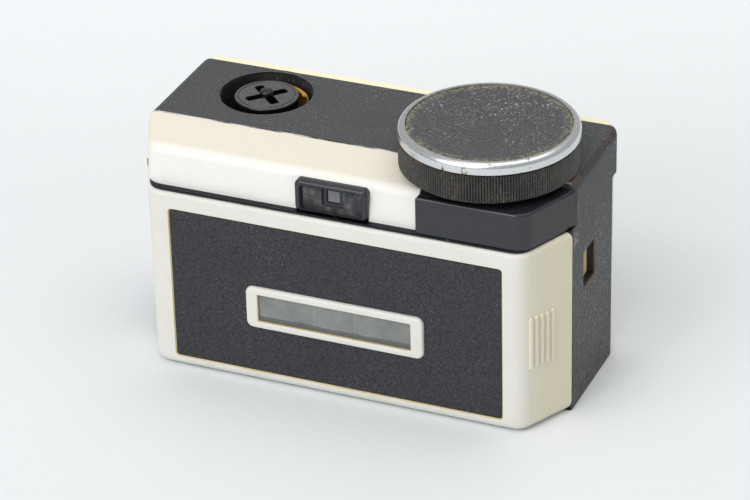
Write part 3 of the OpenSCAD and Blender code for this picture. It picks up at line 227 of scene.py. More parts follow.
def turned(points, radii, steps=4):
    """A lathe profile through corner points, with each corner rounded by its radius."""
    profile = [Vector(points[0])]
    for i in range(1, len(points) - 1):
        if radii[i] == 0:
            profile.append(Vector(points[i]))
        else:
            corner = [points[i - 1], points[i], points[i + 1]]
            profile += rounded(corner, [0, radii[i], 0], steps)[1:-1]
    return [(p[0], p[1]) for p in profile + [Vector(points[-1])]]


def cut(piece, *tools):
    """Takes the tools' volumes out of a piece, and deletes the tools."""
    for tool in tools:
        knife = piece.modifiers.new("cut", "BOOLEAN")
        knife.object, knife.operation, knife.solver = tool, "DIFFERENCE", "EXACT"
    shaped = piece.evaluated_get(bpy.context.evaluated_depsgraph_get())
    mesh = bpy.data.meshes.new_from_object(shaped)
    piece.modifiers.clear()
    piece.data = mesh
    piece.data.materials.clear()
    for tool in tools:
        bpy.data.objects.remove(tool)
    return piece


def join(piece, *others):
    """Adds the other pieces' meshes to a piece, and deletes them."""
    bm = bmesh.new()
    for source in (piece, *others):
        bm.from_mesh(source.data)
    bm.to_mesh(piece.data)
    bm.free()
    for other in others:
        bpy.data.objects.remove(other)
    return piece


def near(at, low, high, axes):
    """Whether a point lies within a box along some axes, give or take a millimetre."""
    return all(low[i] - 1 < at[i] < high[i] + 1 for i in axes)


def dress(piece, body, slot, materials, *nodes):
    """Gives a piece its materials and shading, and makes it stand for CAD nodes of a body."""
    for material in materials:
        piece.data.materials.append(material)
    piece.data.shade_smooth()
    piece.data.set_sharp_from_angle(angle=SHARP)
    weight = piece.modifiers.new("shading", "WEIGHTED_NORMAL")
    weight.keep_sharp = True
    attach(piece, body)
    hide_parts(*nodes)
    return piece


# Materials

def tone(red, green, blue):
    """The linear value of a colour written in sRGB from 0 to 255."""
    channels = [c / 255 for c in (red, green, blue)]
    return (*[c / 12.92 if c < 0.04045 else ((c + 0.055) / 1.055) ** 2.4 for c in channels], 1)


class Paint:
    """A Principled material whose sockets are fed by procedural nodes in the part's own frame."""

    def __init__(self, name, **constants):
        self.material = bpy.data.materials.new(name)
        self.material.use_nodes = True
        self.tree = self.material.node_tree
        self.shader = self.tree.nodes["Principled BSDF"]
        self.feed(**constants)
        self.place = self.add("ShaderNodeTexCoord").outputs["Object"]

    def add(self, kind, settings=(), **inputs):
        node = self.tree.nodes.new(kind)
        for key, value in dict(settings).items():
            setattr(node, key, value)
        for socket, value in inputs.items():
            self.set(node.inputs[socket.replace("_", " ")], value)
        return node

    def set(self, socket, value):
        if isinstance(value, bpy.types.NodeSocket):
            self.tree.links.new(value, socket)
        else:
            socket.default_value = value

    def feed(self, **inputs):
        for socket, value in inputs.items():
            self.set(self.shader.inputs[socket.replace("_", " ")], value)

    def stretched(self, x, y, z, turn=0.0):
        """The part's coordinates scaled along each axis after a turn about Z."""
        return self.add("ShaderNodeMapping", Vector=self.place, Scale=(x, y, z),
                        Rotation=(0, 0, turn)).outputs["Vector"]

    def noise(self, size, detail=3.0, place=None):
        """Noise with features about a size in millimetres."""
        return self.add("ShaderNodeTexNoise", Vector=place or self.place, Scale=1 / (size * MM),
                        Detail=detail).outputs["Fac"]

    def cells(self, size):
        """Distance within cells about a size in millimetres."""
        return self.add("ShaderNodeTexVoronoi", Vector=self.place,
                        Scale=1 / (size * MM)).outputs["Distance"]

    def ramp(self, value, low, high, to_low=0.0, to_high=1.0):
        """A value mapped from one range to another and held at its ends."""
        return self.add("ShaderNodeMapRange", Value=value, From_Min=low, From_Max=high,
                        To_Min=to_low, To_Max=to_high).outputs["Result"]

    def math(self, operation, a, b):
        node = self.add("ShaderNodeMath", {"operation": operation})
        self.set(node.inputs[0], a)
        self.set(node.inputs[1], b)
        return node.outputs[0]

    def times(self, a, b):
        return self.math("MULTIPLY", a, b)

    def axis(self, name):
        """One coordinate of the part's frame, in metres."""
        return self.add("ShaderNodeSeparateXYZ", Vector=self.place).outputs[name]

    def length(self, vector):
        node = self.add("ShaderNodeVectorMath", {"operation": "LENGTH"}, Vector=vector)
        return node.outputs["Value"]

    def reach(self, centre, low, high):
        """From 0 at one distance to 1 at another, from a point or from an upright axis."""
        point = len(centre) == 3
        away = self.add("ShaderNodeMapping", Vector=self.place, Scale=(1, 1, 1 if point else 0),
                        Location=[-c * MM for c in (*centre, 0)[:3]]).outputs["Vector"]
        return self.ramp(self.length(away), low * MM, high * MM)

    def gathered(self, place, size, detail, low, high):
        """Spots of noise within a reach of a place."""
        return self.times(self.reach(*place), self.ramp(self.noise(size, detail), low, high))

    def mix(self, share, a, b):
        """A mix of two colours, each an output or written in sRGB from 0 to 255."""
        node = self.add("ShaderNodeMix", {"data_type": "RGBA"})
        self.set(node.inputs["Factor"], share)
        for socket, colour in zip(node.inputs[6:8], (a, b)):
            self.set(socket, tone(*colour) if isinstance(colour, tuple) else colour)
        return node.outputs[2]

    def bump(self, height, depth, strength=1.0):
        """Normal of a surface whose height varies by a depth in millimetres."""
        return self.add("ShaderNodeBump", Height=height, Distance=depth * MM,
                        Strength=strength).outputs["Normal"]


def cream_plastic(name, fresh, aged, yellow=None, span=None):
    """Moulded cream plastic, a little mottled, with fine specks; along an axis it may blend into a yellowish tint
    that paints light and shade.
    """
    paint = Paint(name, IOR=1.48)
    mottle = paint.ramp(paint.noise(9), 0.35, 0.7)
    speck = paint.ramp(paint.noise(0.55, 2), 0.7, 0.76)
    fine = paint.noise(0.3, 4)
    colour = paint.mix(paint.times(mottle, 0.5), fresh, aged)
    # Painted light and shade: the colour blends into the yellowish tint between two places along an axis.
    if span:
        axis, low, high = span
        colour = paint.mix(paint.ramp(paint.axis(axis), low * MM, high * MM), colour, yellow)
    colour = paint.mix(paint.times(speck, 0.22), colour, (150, 134, 100))
    paint.feed(Base_Color=colour, Roughness=paint.ramp(fine, 0.2, 0.8, 0.4, 0.55),
               Normal=paint.bump(fine, 0.03, 0.4))
    return paint.material


def grained_black(name, dark, light, grain, depth, dust, shine=(0.45, 0.7), smooth_above=None,
                  grime=None, chip=None):
    """Black sheet with a pebble grain, pale dust and scuffs.

    The grain may fade out between two heights; yellow grime may gather between two distances from
    an axis, and the sheet may be chipped round a point.
    """
    paint = Paint(name, IOR=1.5)
    pebbles = paint.math("ADD", paint.cells(grain), paint.times(paint.noise(grain / 2, 3), 0.6))
    if smooth_above:
        fade = [z * MM for z in smooth_above]
        keep = paint.ramp(paint.axis("Z"), *fade, 1, 0.12)
        pebbles = paint.math("ADD", paint.times(pebbles, keep), paint.ramp(keep, 0, 1, 1, 0))
    colour = paint.mix(paint.ramp(pebbles, 0.2, 1.0), light, dark)
    patch = paint.ramp(paint.noise(14, 2), 0.38, 0.66)
    flecks = paint.ramp(paint.noise(0.6, 2), 0.62, 0.7)
    scuffs = paint.ramp(paint.noise(1.0, 2, paint.stretched(1, 1, 5, 0.5)), 0.68, 0.76)
    worn = paint.times(paint.math("MAXIMUM", flecks, scuffs), patch)
    colour = paint.mix(paint.times(worn, dust), colour, (190, 192, 194))
    if grime:
        caught = paint.gathered(grime, 0.9, 4, 0.42, 0.62)
        colour = paint.mix(paint.times(caught, 0.7), colour, (168, 164, 128))
    if chip:
        broken = paint.gathered(chip, 0.8, 3, 0.46, 0.54)
        colour = paint.mix(paint.times(broken, 0.8), colour, (150, 128, 112))
    paint.feed(Base_Color=colour, Roughness=paint.ramp(pebbles, 0.1, 0.9, *shine),
               Normal=paint.bump(pebbles, depth, 0.8))
    return paint.material


def glossy_black(name, colour):
    """Polished black plastic with faint smears."""
    paint = Paint(name, IOR=1.5)
    smear = paint.noise(6, 3, paint.stretched(1, 1, 0.4))
    specks = paint.ramp(paint.noise(0.5, 2), 0.72, 0.76, 0, 0.35)
    paint.feed(Base_Color=paint.mix(specks, colour, (120, 122, 124)),
               Roughness=paint.ramp(smear, 0.3, 0.75, 0.09, 0.24),
               Normal=paint.bump(paint.noise(1.4, 2), 0.006, 0.5))
    return paint.material


def bare_metal(name, colour, stain, stains=0.0, shine=(0.12, 0.3), grime=None, metal=1.0):
    """Scratched metal, stained over a share of it or between two distances from an axis."""
    paint, dull = Paint(name), 0.25
    scratch = paint.noise(0.25, 3, paint.stretched(0.15, 1, 1, 0.4))
    blots = paint.math("ADD", paint.noise(2.6, 5), paint.times(paint.noise(0.6, 3), 0.5))
    spots = paint.ramp(blots, 1.02 - stains, 1.08 - stains)
    if grime:
        edge = paint.gathered(grime, 0.8, 4, 0.4, 0.6)
        spots = paint.math("MAXIMUM", spots, paint.times(edge, 0.8))
    rough = paint.math("ADD", paint.ramp(scratch, 0.3, 0.8, *shine), paint.times(spots, 0.4))
    paint.feed(Base_Color=paint.mix(spots, colour, stain), Roughness=rough,
               Metallic=paint.ramp(spots, 0, 1, metal, dull) if metal > dull else metal,
               Normal=paint.bump(scratch, 0.01, 0.5))
    return paint.material


def worn_line(name, dark, pale, chips):
    """An edge with pale streaks along X and brown chips; the streaks are rubbed wear, and the bright ones also
    paint the edge's highlight.
    """
    paint = Paint(name, IOR=1.5)
    streak = paint.noise(0.8, 3, paint.stretched(0.1, 1, 1))
    spots = paint.ramp(paint.noise(1.6, 4), 0.6 - chips, 0.66 - chips)
    colour = paint.mix(paint.ramp(streak, 0.4, 0.58), dark, pale)
    paint.feed(Base_Color=paint.mix(paint.times(spots, 0.85), colour, (92, 66, 52)),
               Roughness=paint.ramp(streak, 0.3, 0.7, 0.4, 0.6),
               Normal=paint.bump(streak, 0.03, 0.6))
    return paint.material


def dusty_knurl(name):
    """Black plastic with brown dust caught in its ribs."""
    paint = Paint(name, IOR=1.5)
    dust = paint.times(paint.ramp(paint.noise(0.8, 4), 0.45, 0.75),
                       paint.ramp(paint.noise(7), 0.4, 0.65))
    colour = paint.mix(paint.times(dust, 0.55), (44, 44, 43), (138, 126, 100))
    paint.feed(Base_Color=colour, Roughness=paint.ramp(dust, 0, 1, 0.42, 0.75),
               Normal=paint.bump(paint.noise(0.3, 3), 0.02, 0.5))
    return paint.material


def film_window(name, joint, band):
    """Grey pane with two faint upright joints a distance apart, and a dark band below a height."""
    paint = Paint(name, IOR=1.49, Coat_Weight=0.4)
    across = paint.math("ABSOLUTE", paint.axis("X"), 0)
    away = paint.math("ABSOLUTE", paint.math("SUBTRACT", across, joint / 2 * MM), 0)
    cloud = paint.noise(4, 3)
    colour = paint.mix(paint.ramp(cloud, 0.3, 0.7), (112, 116, 114), (134, 137, 132))
    colour = paint.mix(paint.ramp(away, 0.05 * MM, 0.2 * MM, 0.35, 0), colour, (160, 162, 160))
    height = paint.math("ADD", paint.axis("Z"), paint.times(cloud, 0.6 * MM))
    shade = paint.ramp(height, (band + 0.1) * MM, (band + 0.5) * MM, 0.75, 0)
    colour = paint.mix(shade, colour, (70, 72, 72))
    paint.feed(Base_Color=colour, Roughness=paint.ramp(cloud, 0.3, 0.7, 0.1, 0.25),
               Normal=paint.bump(paint.noise(2.5, 2), 0.01, 0.4))
    return paint.material


def glass(name, colour, clear):
    """Lens glass with a little dust."""
    paint = Paint(name, IOR=1.52, Transmission_Weight=clear)
    dust = paint.ramp(paint.noise(0.8, 3), 0.6, 0.75)
    paint.feed(Base_Color=paint.mix(paint.times(dust, 0.2), colour, (230, 230, 230)),
               Roughness=paint.ramp(dust, 0, 1, 0.02, 0.2))
    return paint.material


# The door's cream turns darker and warmer on the slanted right end: painted shade.
CREAM = cream_plastic("cream", (230, 228, 222), (223, 219, 206), (224, 217, 192), ("X", 47, 52))
# The panel's cream is a lighter copy of the door's, painted light on its leaning face; its shoulder turns darker
# and warmer, painted shade.
CREAM_PANEL_PAINTED_LIGHT = cream_plastic("cream_panel_painted_light", (240, 239, 235), (234, 232, 225), (231, 225, 209),
                            ("Y", panel_low.y + 1.5, panel_low.y + 4))
# The front's cream turns paler and warmer toward its top edge: painted light.
CREAM_FRONT = cream_plastic("cream_front", (236, 232, 222), (228, 222, 206), (250, 242, 214),
                            ("Z", 57, 60))
CREAM_AGED = cream_plastic("cream_aged", (216, 200, 150), (186, 160, 100))
INLAY = grained_black("leatherette", (36, 37, 41), (62, 64, 69), 0.55, 0.07, 0.25)
TOP_BLACK = grained_black("top_black", (62, 63, 64), (82, 83, 84), 0.5, 0.03, 0.5, (0.4, 0.55))
DISC_BLACK = grained_black("disc_black", (62, 63, 64), (96, 97, 98), 0.6, 0.06, 0.9, (0.42, 0.6),
                           grime=(knob_axis, 17.5, 20.2))
SIDE_BLACK = grained_black("side_black", (36, 37, 39), (80, 82, 83), 1.05, 0.3, 0.55, (0.32, 0.5),
                           (36, 47), chip=((half_w, side_y + 2.2, 46.5), 3, 1))
RUST = grained_black("rust", (96, 72, 50), (150, 122, 92), 0.8, 0.03, 0.3)
# The roof's rear edge: rubbed wear whose pale streaks are also a painted highlight.
WORN_EDGE_AND_HIGHLIGHT = worn_line("worn_edge_and_highlight", (48, 43, 45), (214, 208, 212), 0.0)
BROWN_EDGE = worn_line("brown_edge", (38, 36, 36), (66, 64, 63), 0.06)
SCUFFED = grained_black("scuffed_black", (44, 46, 48), (98, 99, 100), 2.2, 0.02, 0.5, (0.45, 0.65))
DRUM_GREY = grained_black("drum_grey", (76, 77, 78), (94, 95, 96), 0.6, 0.02, 0.3, (0.45, 0.6))
BLACK = grained_black("black", (30, 31, 32), (46, 47, 48), 0.4, 0.02, 0.25, (0.42, 0.6))
GLOSS = glossy_black("gloss_black", (40, 42, 46))
# Near-black gloss for the flash drum and its post: black plastic, darkened past the other blacks as painted shade
# in the socket's well.
PIT_BLACK_AND_SHADE = glossy_black("pit_black_and_shade", (14, 14, 15))
KNURL = dusty_knurl("knurl_black")
CHROME = bare_metal("chrome", (214, 216, 217), (126, 104, 78), 0.08, (0.2, 0.38),
                    grime=(knob_axis, 21.0, 20.2))
STEEL = bare_metal("steel", (176, 178, 180), (120, 108, 96), 0.02, (0.25, 0.45))
BLACK_STEEL = bare_metal("black_steel", (46, 47, 49), (92, 84, 74), 0.04, (0.35, 0.55))
BRASS = bare_metal("brass", (246, 186, 92), (170, 100, 36), 0.1, (0.3, 0.5), metal=0.25)
PANE = film_window("film_window", 10.9, pane_low.z + 1.5)
EYE_GLASS = glass("eye_glass", (122, 124, 128), 0.1)
LENS_GLASS = glass("lens_glass", (214, 220, 236), 0.95)

SLOTS = {"cream_plastic": CREAM, "black_plastic": BLACK, "gloss_black": GLOSS, "brass": BRASS,
         "leatherette": INLAY, "chrome_trim": CHROME, "steel": STEEL, "black_steel": BLACK_STEEL,
         "clear_plastic": EYE_GLASS, "lens_glass": LENS_GLASS}


# Slanted ends of the back

def slant_x(y, depth=0.0, rate=slant):
    """Place of a slanted end's face at a y, set in by a depth."""
    return back_half + (y - back_y) * rate - depth * sqrt(1 + rate * rate)


def tray(y0, y1, r, depth=0.0):
    """Outline of the back, set in by a depth: slanted ends, and straight sides beyond them."""
    x0, x1 = slant_x(y0, depth), half_w - depth
    y = side_y + depth * (sqrt(1 + slant * slant) - 1) / slant
    corners = [(-x0, y0), (x0, y0), (x1, y), (x1, y1), (-x1, y1), (-x1, y)]
    return rounded(corners, [r, r, 0, 0, 0, 0])


# Door

door_t, shelf_t = 1.8, 1.4
edge_r, foot_r = 1.5, 2.6
inlay_low, inlay_high = node_box("door_inlay")
inlay_gap, inlay_r = 0.1, 0.8
rim_side, rim_top, rim_out = 3.2, 1.9, back_y - door_low.y
rim_r, sill_r = 1.8, 0.3
bead_r, bead_bore, ear_gap = 1.5, 0.8, 0.4
bead_low, bead_high = 3.4, door_high.z - 3.9


def window_ring(grow_x, grow_z, r, y):
    """A rounded ring round the film window, grown past the pane."""
    outline = box_outline(pane_low.x - grow_x, pane_high.x + grow_x, pane_low.z - grow_z,
                          pane_high.z + grow_z, r)
    return [upright(p, y) for p in outline]


def window_rim():
    """Raised frame round the window, with soft outer edges and an aged inner wall."""
    soft, crisp, sunk = 0.7, 0.3, back_y + 1
    front = back_y - rim_out
    turns = quarter(4)
    rings = [window_ring(rim_side, rim_top, rim_r, sunk)]
    for a in turns:
        fall, y = soft * (1 - cos(a)), front + soft * (1 - sin(a))
        rings.append(window_ring(rim_side - fall, rim_top - fall, rim_r - fall, y))
    for a in turns[::-1]:
        rise = crisp * (1 - cos(a))
        rings.append(window_ring(rise, rise, sill_r + rise, front + crisp * (1 - sin(a))))
    rings.append(window_ring(0, 0, sill_r, sunk))
    bands = len(rings)
    return loft("rim", rings, closed=True, tint=[int(k >= bands - 2) for k in range(bands)])


def grip_ribs():
    """Half-round upright ribs on the right slanted end."""
    first, pitch, count, r = 2.9, 1.78, 5, 0.6
    low, high = 17.5, 31.8
    along = Vector((slant, 1)).normalized()
    ends = quarter(4)
    profile = [(r * sin(a), low + r * (1 - cos(a))) for a in ends]
    profile += [(r * cos(a), high - r * (1 - sin(a))) for a in ends]
    start = Vector((back_half, back_y))
    return [lathe("rib", profile, start + along * (first + i * pitch), 20) for i in range(count)]


def inlay_recess():
    """Cutting volume of the recess for the covering sheet, flared at its mouth."""
    levels = [(-lip - OVER, back_y - OVER), (0, back_y + lip), (0, inlay_high.y)]
    return flared("recess", box_face(inlay_low, inlay_high, inlay_gap, inlay_r), levels)


def ear_notch(low, high):
    """Cutting volume that frees the casing's hinge ear."""
    r, steps, mouth = bead_r + ear_gap, 10, side_y + 2 * OVER
    turns = [pi + pi * k / steps for k in range(steps + 1)]
    arc = [(hinge.x + r * cos(a), hinge.y + r * sin(a)) for a in turns]
    outline = [Vector(p) for p in arc + [(hinge.x + r, mouth), (hinge.x - r - OVER, mouth)]]
    return slab("notch", outline, low, high)


def make_door():
    """The film door: a tray with slanted ends, its window, rim, hinge bead and grip ribs."""
    low_z, high_z, cover = door_low.z, door_high.z, 0.5
    spare_y, open_y = side_y + 4, side_y + 8
    mouth_y, mouth_t = back_y + 7, door_t + 0.8
    door = slab("door", tray(back_y, spare_y, bend_r), low_z, high_z, foot_r, edge_r)
    hollow = slab("hollow", tray(back_y + door_t, open_y, bend_r - door_t, door_t),
                  low_z + shelf_t, high_z - shelf_t)
    mouth = slab("mouth", tray(mouth_y, open_y, 0, mouth_t), high_z - shelf_t - OVER, high_z + OVER)
    front = block("front", (-FAR, side_y, -FAR), (FAR, side_y + REACH, FAR))
    outside = back_y - 2 * OVER
    seat = block("seat", (pane_low.x, outside, pane_low.z), (pane_high.x, pane_high.y, pane_high.z))
    sight = block("sight", (pane_low.x + cover, outside, pane_low.z + cover),
                  (pane_high.x - cover, back_y + door_t + OVER, pane_high.z - cover))
    cut(door, front, hollow, mouth, inlay_recess(), seat, sight, ear_notch(-OVER, bead_low),
        ear_notch(bead_high, high_z + OVER))
    for face in door.data.polygons:
        at = face.center / MM
        in_wall = back_y < at.y < inlay_high.y - 0.01 and abs(face.normal.y) < 0.9
        if in_wall and near(at, inlay_low, inlay_high, (0, 2)):
            face.material_index = 1
    corners = [(bead_bore, bead_low), (bead_r, bead_low), (bead_r, bead_high),
               (bead_bore, bead_high)]
    bead = lathe("bead", turned(corners, [0, 0.3, 0.3, 0]), hinge_axis, 32, closed=True)
    join(door, window_rim(), bead, *grip_ribs())
    dress(door, "door", "cream_plastic", [CREAM, CREAM_AGED], "rear_door")


def make_pane():
    gap, r, edge = 0.05, 0.3, 0.15
    outline = box_face(pane_low, pane_high, -gap, r)
    pane = slab("pane", outline, pane_low.y, pane_high.y, edge, 0, place=upright)
    dress(pane, "door", "clear_plastic", [PANE], "window_pane")


make_door()
make_pane()

# Rear panel and eyepiece

seam = 0.25
ridge_r, panel_t, panel_lean = 2.0, 1.6, 1.5
ridge_y, ridge_z = panel_low.y + panel_lean, block_high.z
rise = (roof_z - ridge_z) / (roof_y0 - ridge_y)
eye_low, eye_high = node_box("eyepiece_frame")
glass_low, glass_high = node_box("eyepiece_lens")
eye_x, eye_z = (eye_low.x + eye_high.x) / 2, (eye_low.z + eye_high.z) / 2
eye_half, eye_tall = (eye_high.x - eye_low.x) / 2, (eye_high.z - eye_low.z) / 2
eye_r = 1.2
sight_z = (glass_low.z + glass_high.z) / 2


def panel_solid(name, depth, overrun, low_z):
    """Panel volume set in by a depth: a leaning face, a rounded ridge and a rising shoulder."""
    y1 = roof_y0 - seam + overrun
    x1 = panel_high.x + overrun
    x = slant_x(y1, depth, upper_slant)

    def ring(lean, inward):
        y0 = ridge_y - lean + depth
        left = -slant_x(y0, depth, upper_slant)
        outline = rounded([(left, y0), (x1, y0), (x1, y1), (-x, y1)], [bend_r - depth, 0, 0, 0])
        return inset(outline, inward, [1] * (len(outline) - 3) + [0, 0, 1])

    rings = [[flat(p, low_z) for p in ring(panel_lean, 0)]]
    for a in quarter(6):
        drop = ridge_r * (1 - sin(a))
        lean = panel_lean * drop / (ridge_z - upper_z)
        rings.append([flat(p, ridge_z - depth + (p.y - ridge_y) * rise - drop)
                      for p in ring(lean, ridge_r * (1 - cos(a)))])
    return loft(name, rings)


def make_panel():
    """The pale upper panel: a shell with a rounded notch for the eyepiece."""
    outside = panel_solid("panel", 0, 0, upper_z)
    inside = panel_solid("inside", panel_t, OVER, upper_z - OVER)
    opening = box_outline(eye_low.x, eye_high.x, upper_z - 5 * OVER, eye_high.z, eye_r, 5)
    notch = slab("eye_notch", opening, panel_low.y - OVER, eye_high.y + OVER, place=upright)
    dress(cut(outside, inside, notch), "body", "cream_plastic", [CREAM_PANEL_PAINTED_LIGHT], "rear_panel")


def eye_ring(half, tall, r, y, z):
    outline = box_outline(eye_x - half, eye_x + half, z - tall, z + tall, r, 5)
    return [upright(p, y) for p in outline]


def make_eyepiece():
    """The eyepiece: a soft outer edge, a funnel with a scuffed floor and a stepped sight hole."""
    soft, drop, front, floor_y = 0.9, 0.4, eye_low.y, eye_low.y + 1.3
    rings = [eye_ring(eye_half, eye_tall, eye_r, eye_high.y, eye_z)]
    for a in quarter(5):
        fall, y = soft * (1 - cos(a)), front + soft * (1 - sin(a))
        rings.append(eye_ring(eye_half - fall, eye_tall - fall, 1.3 - fall / 2, y, eye_z))
    funnel = len(rings)
    # half width, half height, corner radius, y and middle of each further ring
    rings += [eye_ring(*row) for row in (
        (eye_half - 1.2, eye_tall - 0.9, 0.8, front, eye_z),
        (eye_half - 1.4, eye_tall - 0.95, 0.7, front + 0.15, eye_z - drop / 2),
        (eye_half - 1.9, eye_tall - 1.0, 0.6, floor_y - 0.2, eye_z - drop),
        (eye_half - 3.2, eye_tall - 1.05, 0.5, floor_y, eye_z - drop),
        (2.8, 2.5, 0.2, floor_y, sight_z),
        (2.65, 2.35, 0.2, floor_y + 0.2, sight_z),
        (2.4, 2.1, 0.2, floor_y + 0.55, sight_z),
        (1.75, 1.7, 0.15, floor_y + 0.65, sight_z),
        (1.5, 1.5, 0.15, glass_low.y, sight_z),
        (1.5, 1.5, 0.15, eye_high.y, sight_z))]
    scuffed = [int(k in (funnel + 2, funnel + 3)) for k in range(len(rings))]
    eyepiece = loft("eyepiece", rings, True, scuffed)
    dress(eyepiece, "body", "gloss_black", [GLOSS, SCUFFED], "eyepiece_frame")


def make_casing():
    """The glossy casing of the spring motor, hollow under its lid."""
    heel_r, low_edge, high_edge, steps = 0.4, 0.2, 0.8, 8
    boss_r, barrel_gap = 6.3, 0.8
    lid_z = block_high.z - 1.2
    x0, y0, y1 = block_low.x, block_low.y, roof_y0 - seam
    ends = [(slant_x(y, 0, upper_slant), y) for y in (y0, y1)]
    corners = [(x0, y0), *ends, (x0, y1)]
    outline = rounded(corners, [heel_r, bend_r, 0, 0], steps)
    shares = [1] * (len(outline) - 2) + [0, 1]
    casing = slab("motor_casing", outline, upper_z, block_high.z, low_edge, high_edge, shares)
    room = rounded(inset([Vector(p) for p in corners], wall), [0, bend_r - wall, 0, 0], steps)
    inner = slab("inside", room, upper_z - OVER, lid_z)
    boss = lathe("boss", [(boss_r, upper_z), (boss_r, roof_z)], knob_axis, 48)
    barrel_r = node_box("spring_barrel")[1].x - knob.x + barrel_gap
    drum = lathe("drum_room", [(barrel_r, upper_z - OVER), (barrel_r, lid_z)], knob_axis, 64)
    dress(cut(casing, inner, drum, boss), "body", "gloss_black", [GLOSS], "motor_housing")


make_panel()
make_casing()
make_eyepiece()

# Upper housing: a roof with rounded ends and two cheeks

roof_r, roof_t, cheek_r = 2.4, 2.2, 2.5


def corner_cut(s):
    """Cutting volume that rounds a front corner of the roof, seen from above."""
    x, y, reach = s * (half_w - cheek_r), roof_y1 - cheek_r, cheek_r + OVER
    arc = [Vector((x + s * cheek_r * sin(a), y + cheek_r * cos(a))) for a in quarter(8)]
    beyond = [Vector((x + s * reach, y)), Vector((x + s * reach, y + reach))]
    return slab("corner", [Vector((x, y + reach)), *arc, *beyond], upper_z - OVER, roof_z + OVER)


def make_top():
    """The black roof and cheeks, with the flash socket's well and its worn edges; the pale streaks on the rear
    edge also paint its highlight.
    """
    inner, ceiling, rear_edge, bush_r = half_w - wall, roof_z - roof_t, 0.5, 5.6
    corners = [(-half_w, upper_z), (-inner, upper_z), (-inner, ceiling), (inner, ceiling),
               (inner, upper_z), (half_w, upper_z), (half_w, roof_z), (-half_w, roof_z)]
    arch = rounded(corners, [0, 0, 0, 0, 0, 0, roof_r, roof_r], 8)
    shares = [0] * 5 + [1] * (len(arch) - 5)
    top = slab("top_cap", arch, roof_y0, roof_y1, rear_edge, 0, shares, upright)
    mouth_r = cup_r - 0.45
    well = lathe("well", [(cup_r, upper_z - OVER), (cup_r, roof_z - 0.4), (mouth_r, roof_z + 0.1),
                          (mouth_r, roof_z + OVER)], flash_axis)
    bush = lathe("bush", [(bush_r, upper_z), (bush_r, roof_z + OVER)], knob_axis, 48)
    cut(top, well, bush, corner_cut(-1), corner_cut(1))
    rim = [(cup_r + 0.3, roof_z - 0.3), (cup_r + 0.3, roof_z + 0.02), (cup_r + 0.9, roof_z + 0.06),
           (cup_r + 1.0, roof_z - 0.3)]
    join(top, lathe("well_ring", turned(rim, [0, 0.1, 0.1, 0]), flash_axis, closed=True))
    for face in top.data.polygons:
        at, n = face.center / MM, face.normal
        # Rear edge: rubbed wear, with pale streaks that also paint a highlight.
        if at.y < roof_y0 + rear_edge and at.z > roof_z - 0.6 and 0.1 < n.z < 0.98:
            face.material_index = 2
        elif at.x > 0 and 0.5 < n.z < 0.92 and n.x > 0.3:
            face.material_index = 3
        elif abs(n.x) > 0.75:
            face.material_index = 1
    looks = [TOP_BLACK, SIDE_BLACK, WORN_EDGE_AND_HIGHLIGHT, BROWN_EDGE]
    dress(top, "body", "black_plastic", looks, "top_housing", "top_trim")


make_top()

# Covering sheets on the two sides; the right one has a window over the door release

latch_low, latch_high = node_box("door_release")
slot_rim = Vector((0, 1.2, 1.2))
slot_low, slot_high = latch_low + slot_rim, latch_high - slot_rim


def cut_slot(skin, x0, x1):
    """Cuts the window into a sheet that lies between two places, and rusts its walls."""
    mouth = 0.5
    face = [Vector(p) for p in ((slot_low.y, slot_low.z), (slot_high.y, slot_low.z),
                                (slot_high.y, slot_high.z), (slot_low.y, slot_high.z))]
    levels = ((x0 - OVER, 0), (x1 - 0.3, 0), (x1 + 0.5, mouth))
    cut(skin, loft("slot", [[Vector((x, p.x, p.y)) for p in inset(face, -d)] for x, d in levels]))
    for side in skin.data.polygons:
        if abs(side.normal.x) < 0.95 and near(side.center / MM, slot_low, slot_high, (1, 2)):
            side.material_index = 1


for node in ("side_trim_left", "side_trim_right"):
    low, high = node_box(node)
    high.z = upper_z + 0.02
    skin = block(node.replace("trim", "skin"), low, high)
    if node == "side_trim_right":
        cut_slot(skin, low.x, high.x)
    dress(skin, "body", "leatherette", [SIDE_BLACK, RUST], node)

# Flash socket


def make_drum():
    """The turning drum of the socket, with a cross cut into it and a post in the middle."""
    low, high = node_box("flash_drum")
    r, top_z, foot_z = high.x - flash.x, roof_z - 0.5, cup_low.z + 1.6
    groove_z = top_z - 0.12
    stem_r, post_r = 2, 1.8
    cross_turn, cross_l, cross_w, cross_z = radians(47), 5.5, 2.4, top_z - 2.0
    profile = [(CORE, low.z), (stem_r, low.z), (stem_r, foot_z), (r, foot_z), (r, top_z),
               (7.3, top_z), (7.2, groove_z), (7.0, groove_z), (6.9, top_z), (CORE, top_z)]
    radii = [0, 0, 0, 0.3, 0.45, 0.03, 0.03, 0.03, 0.03, 0]
    drum = lathe("flash_drum", turned(profile, radii), flash_axis)
    bar = box_outline(-cross_l, cross_l, -cross_w / 2, cross_w / 2, 0.7)
    slots = []
    for k in range(2):
        spin = Matrix.Rotation(cross_turn + k * pi / 2, 2)
        arm = [spin @ p + Vector(flash_axis) for p in bar]
        slots.append(slab("cross", arm, cross_z, top_z + OVER))
    cut(drum, *slots)
    root_z = cross_z - 0.5
    profile = [(CORE, root_z), (post_r, root_z), (post_r, high.z), (CORE, high.z)]
    post = lathe("post", turned(profile, [0, 0, 0.7, 0]), flash_axis, 48)
    # Faces on the drum's top turn grey; its sides and cross slots keep the near-black gloss, painted shade in the
    # well.
    for face in drum.data.polygons:
        if face.normal.z > 0.9 and face.center.z / MM > top_z - 0.2:
            face.material_index = 1
    dress(join(drum, post), "drum", "black_plastic", [PIT_BLACK_AND_SHADE, DRUM_GREY], "flash_drum")


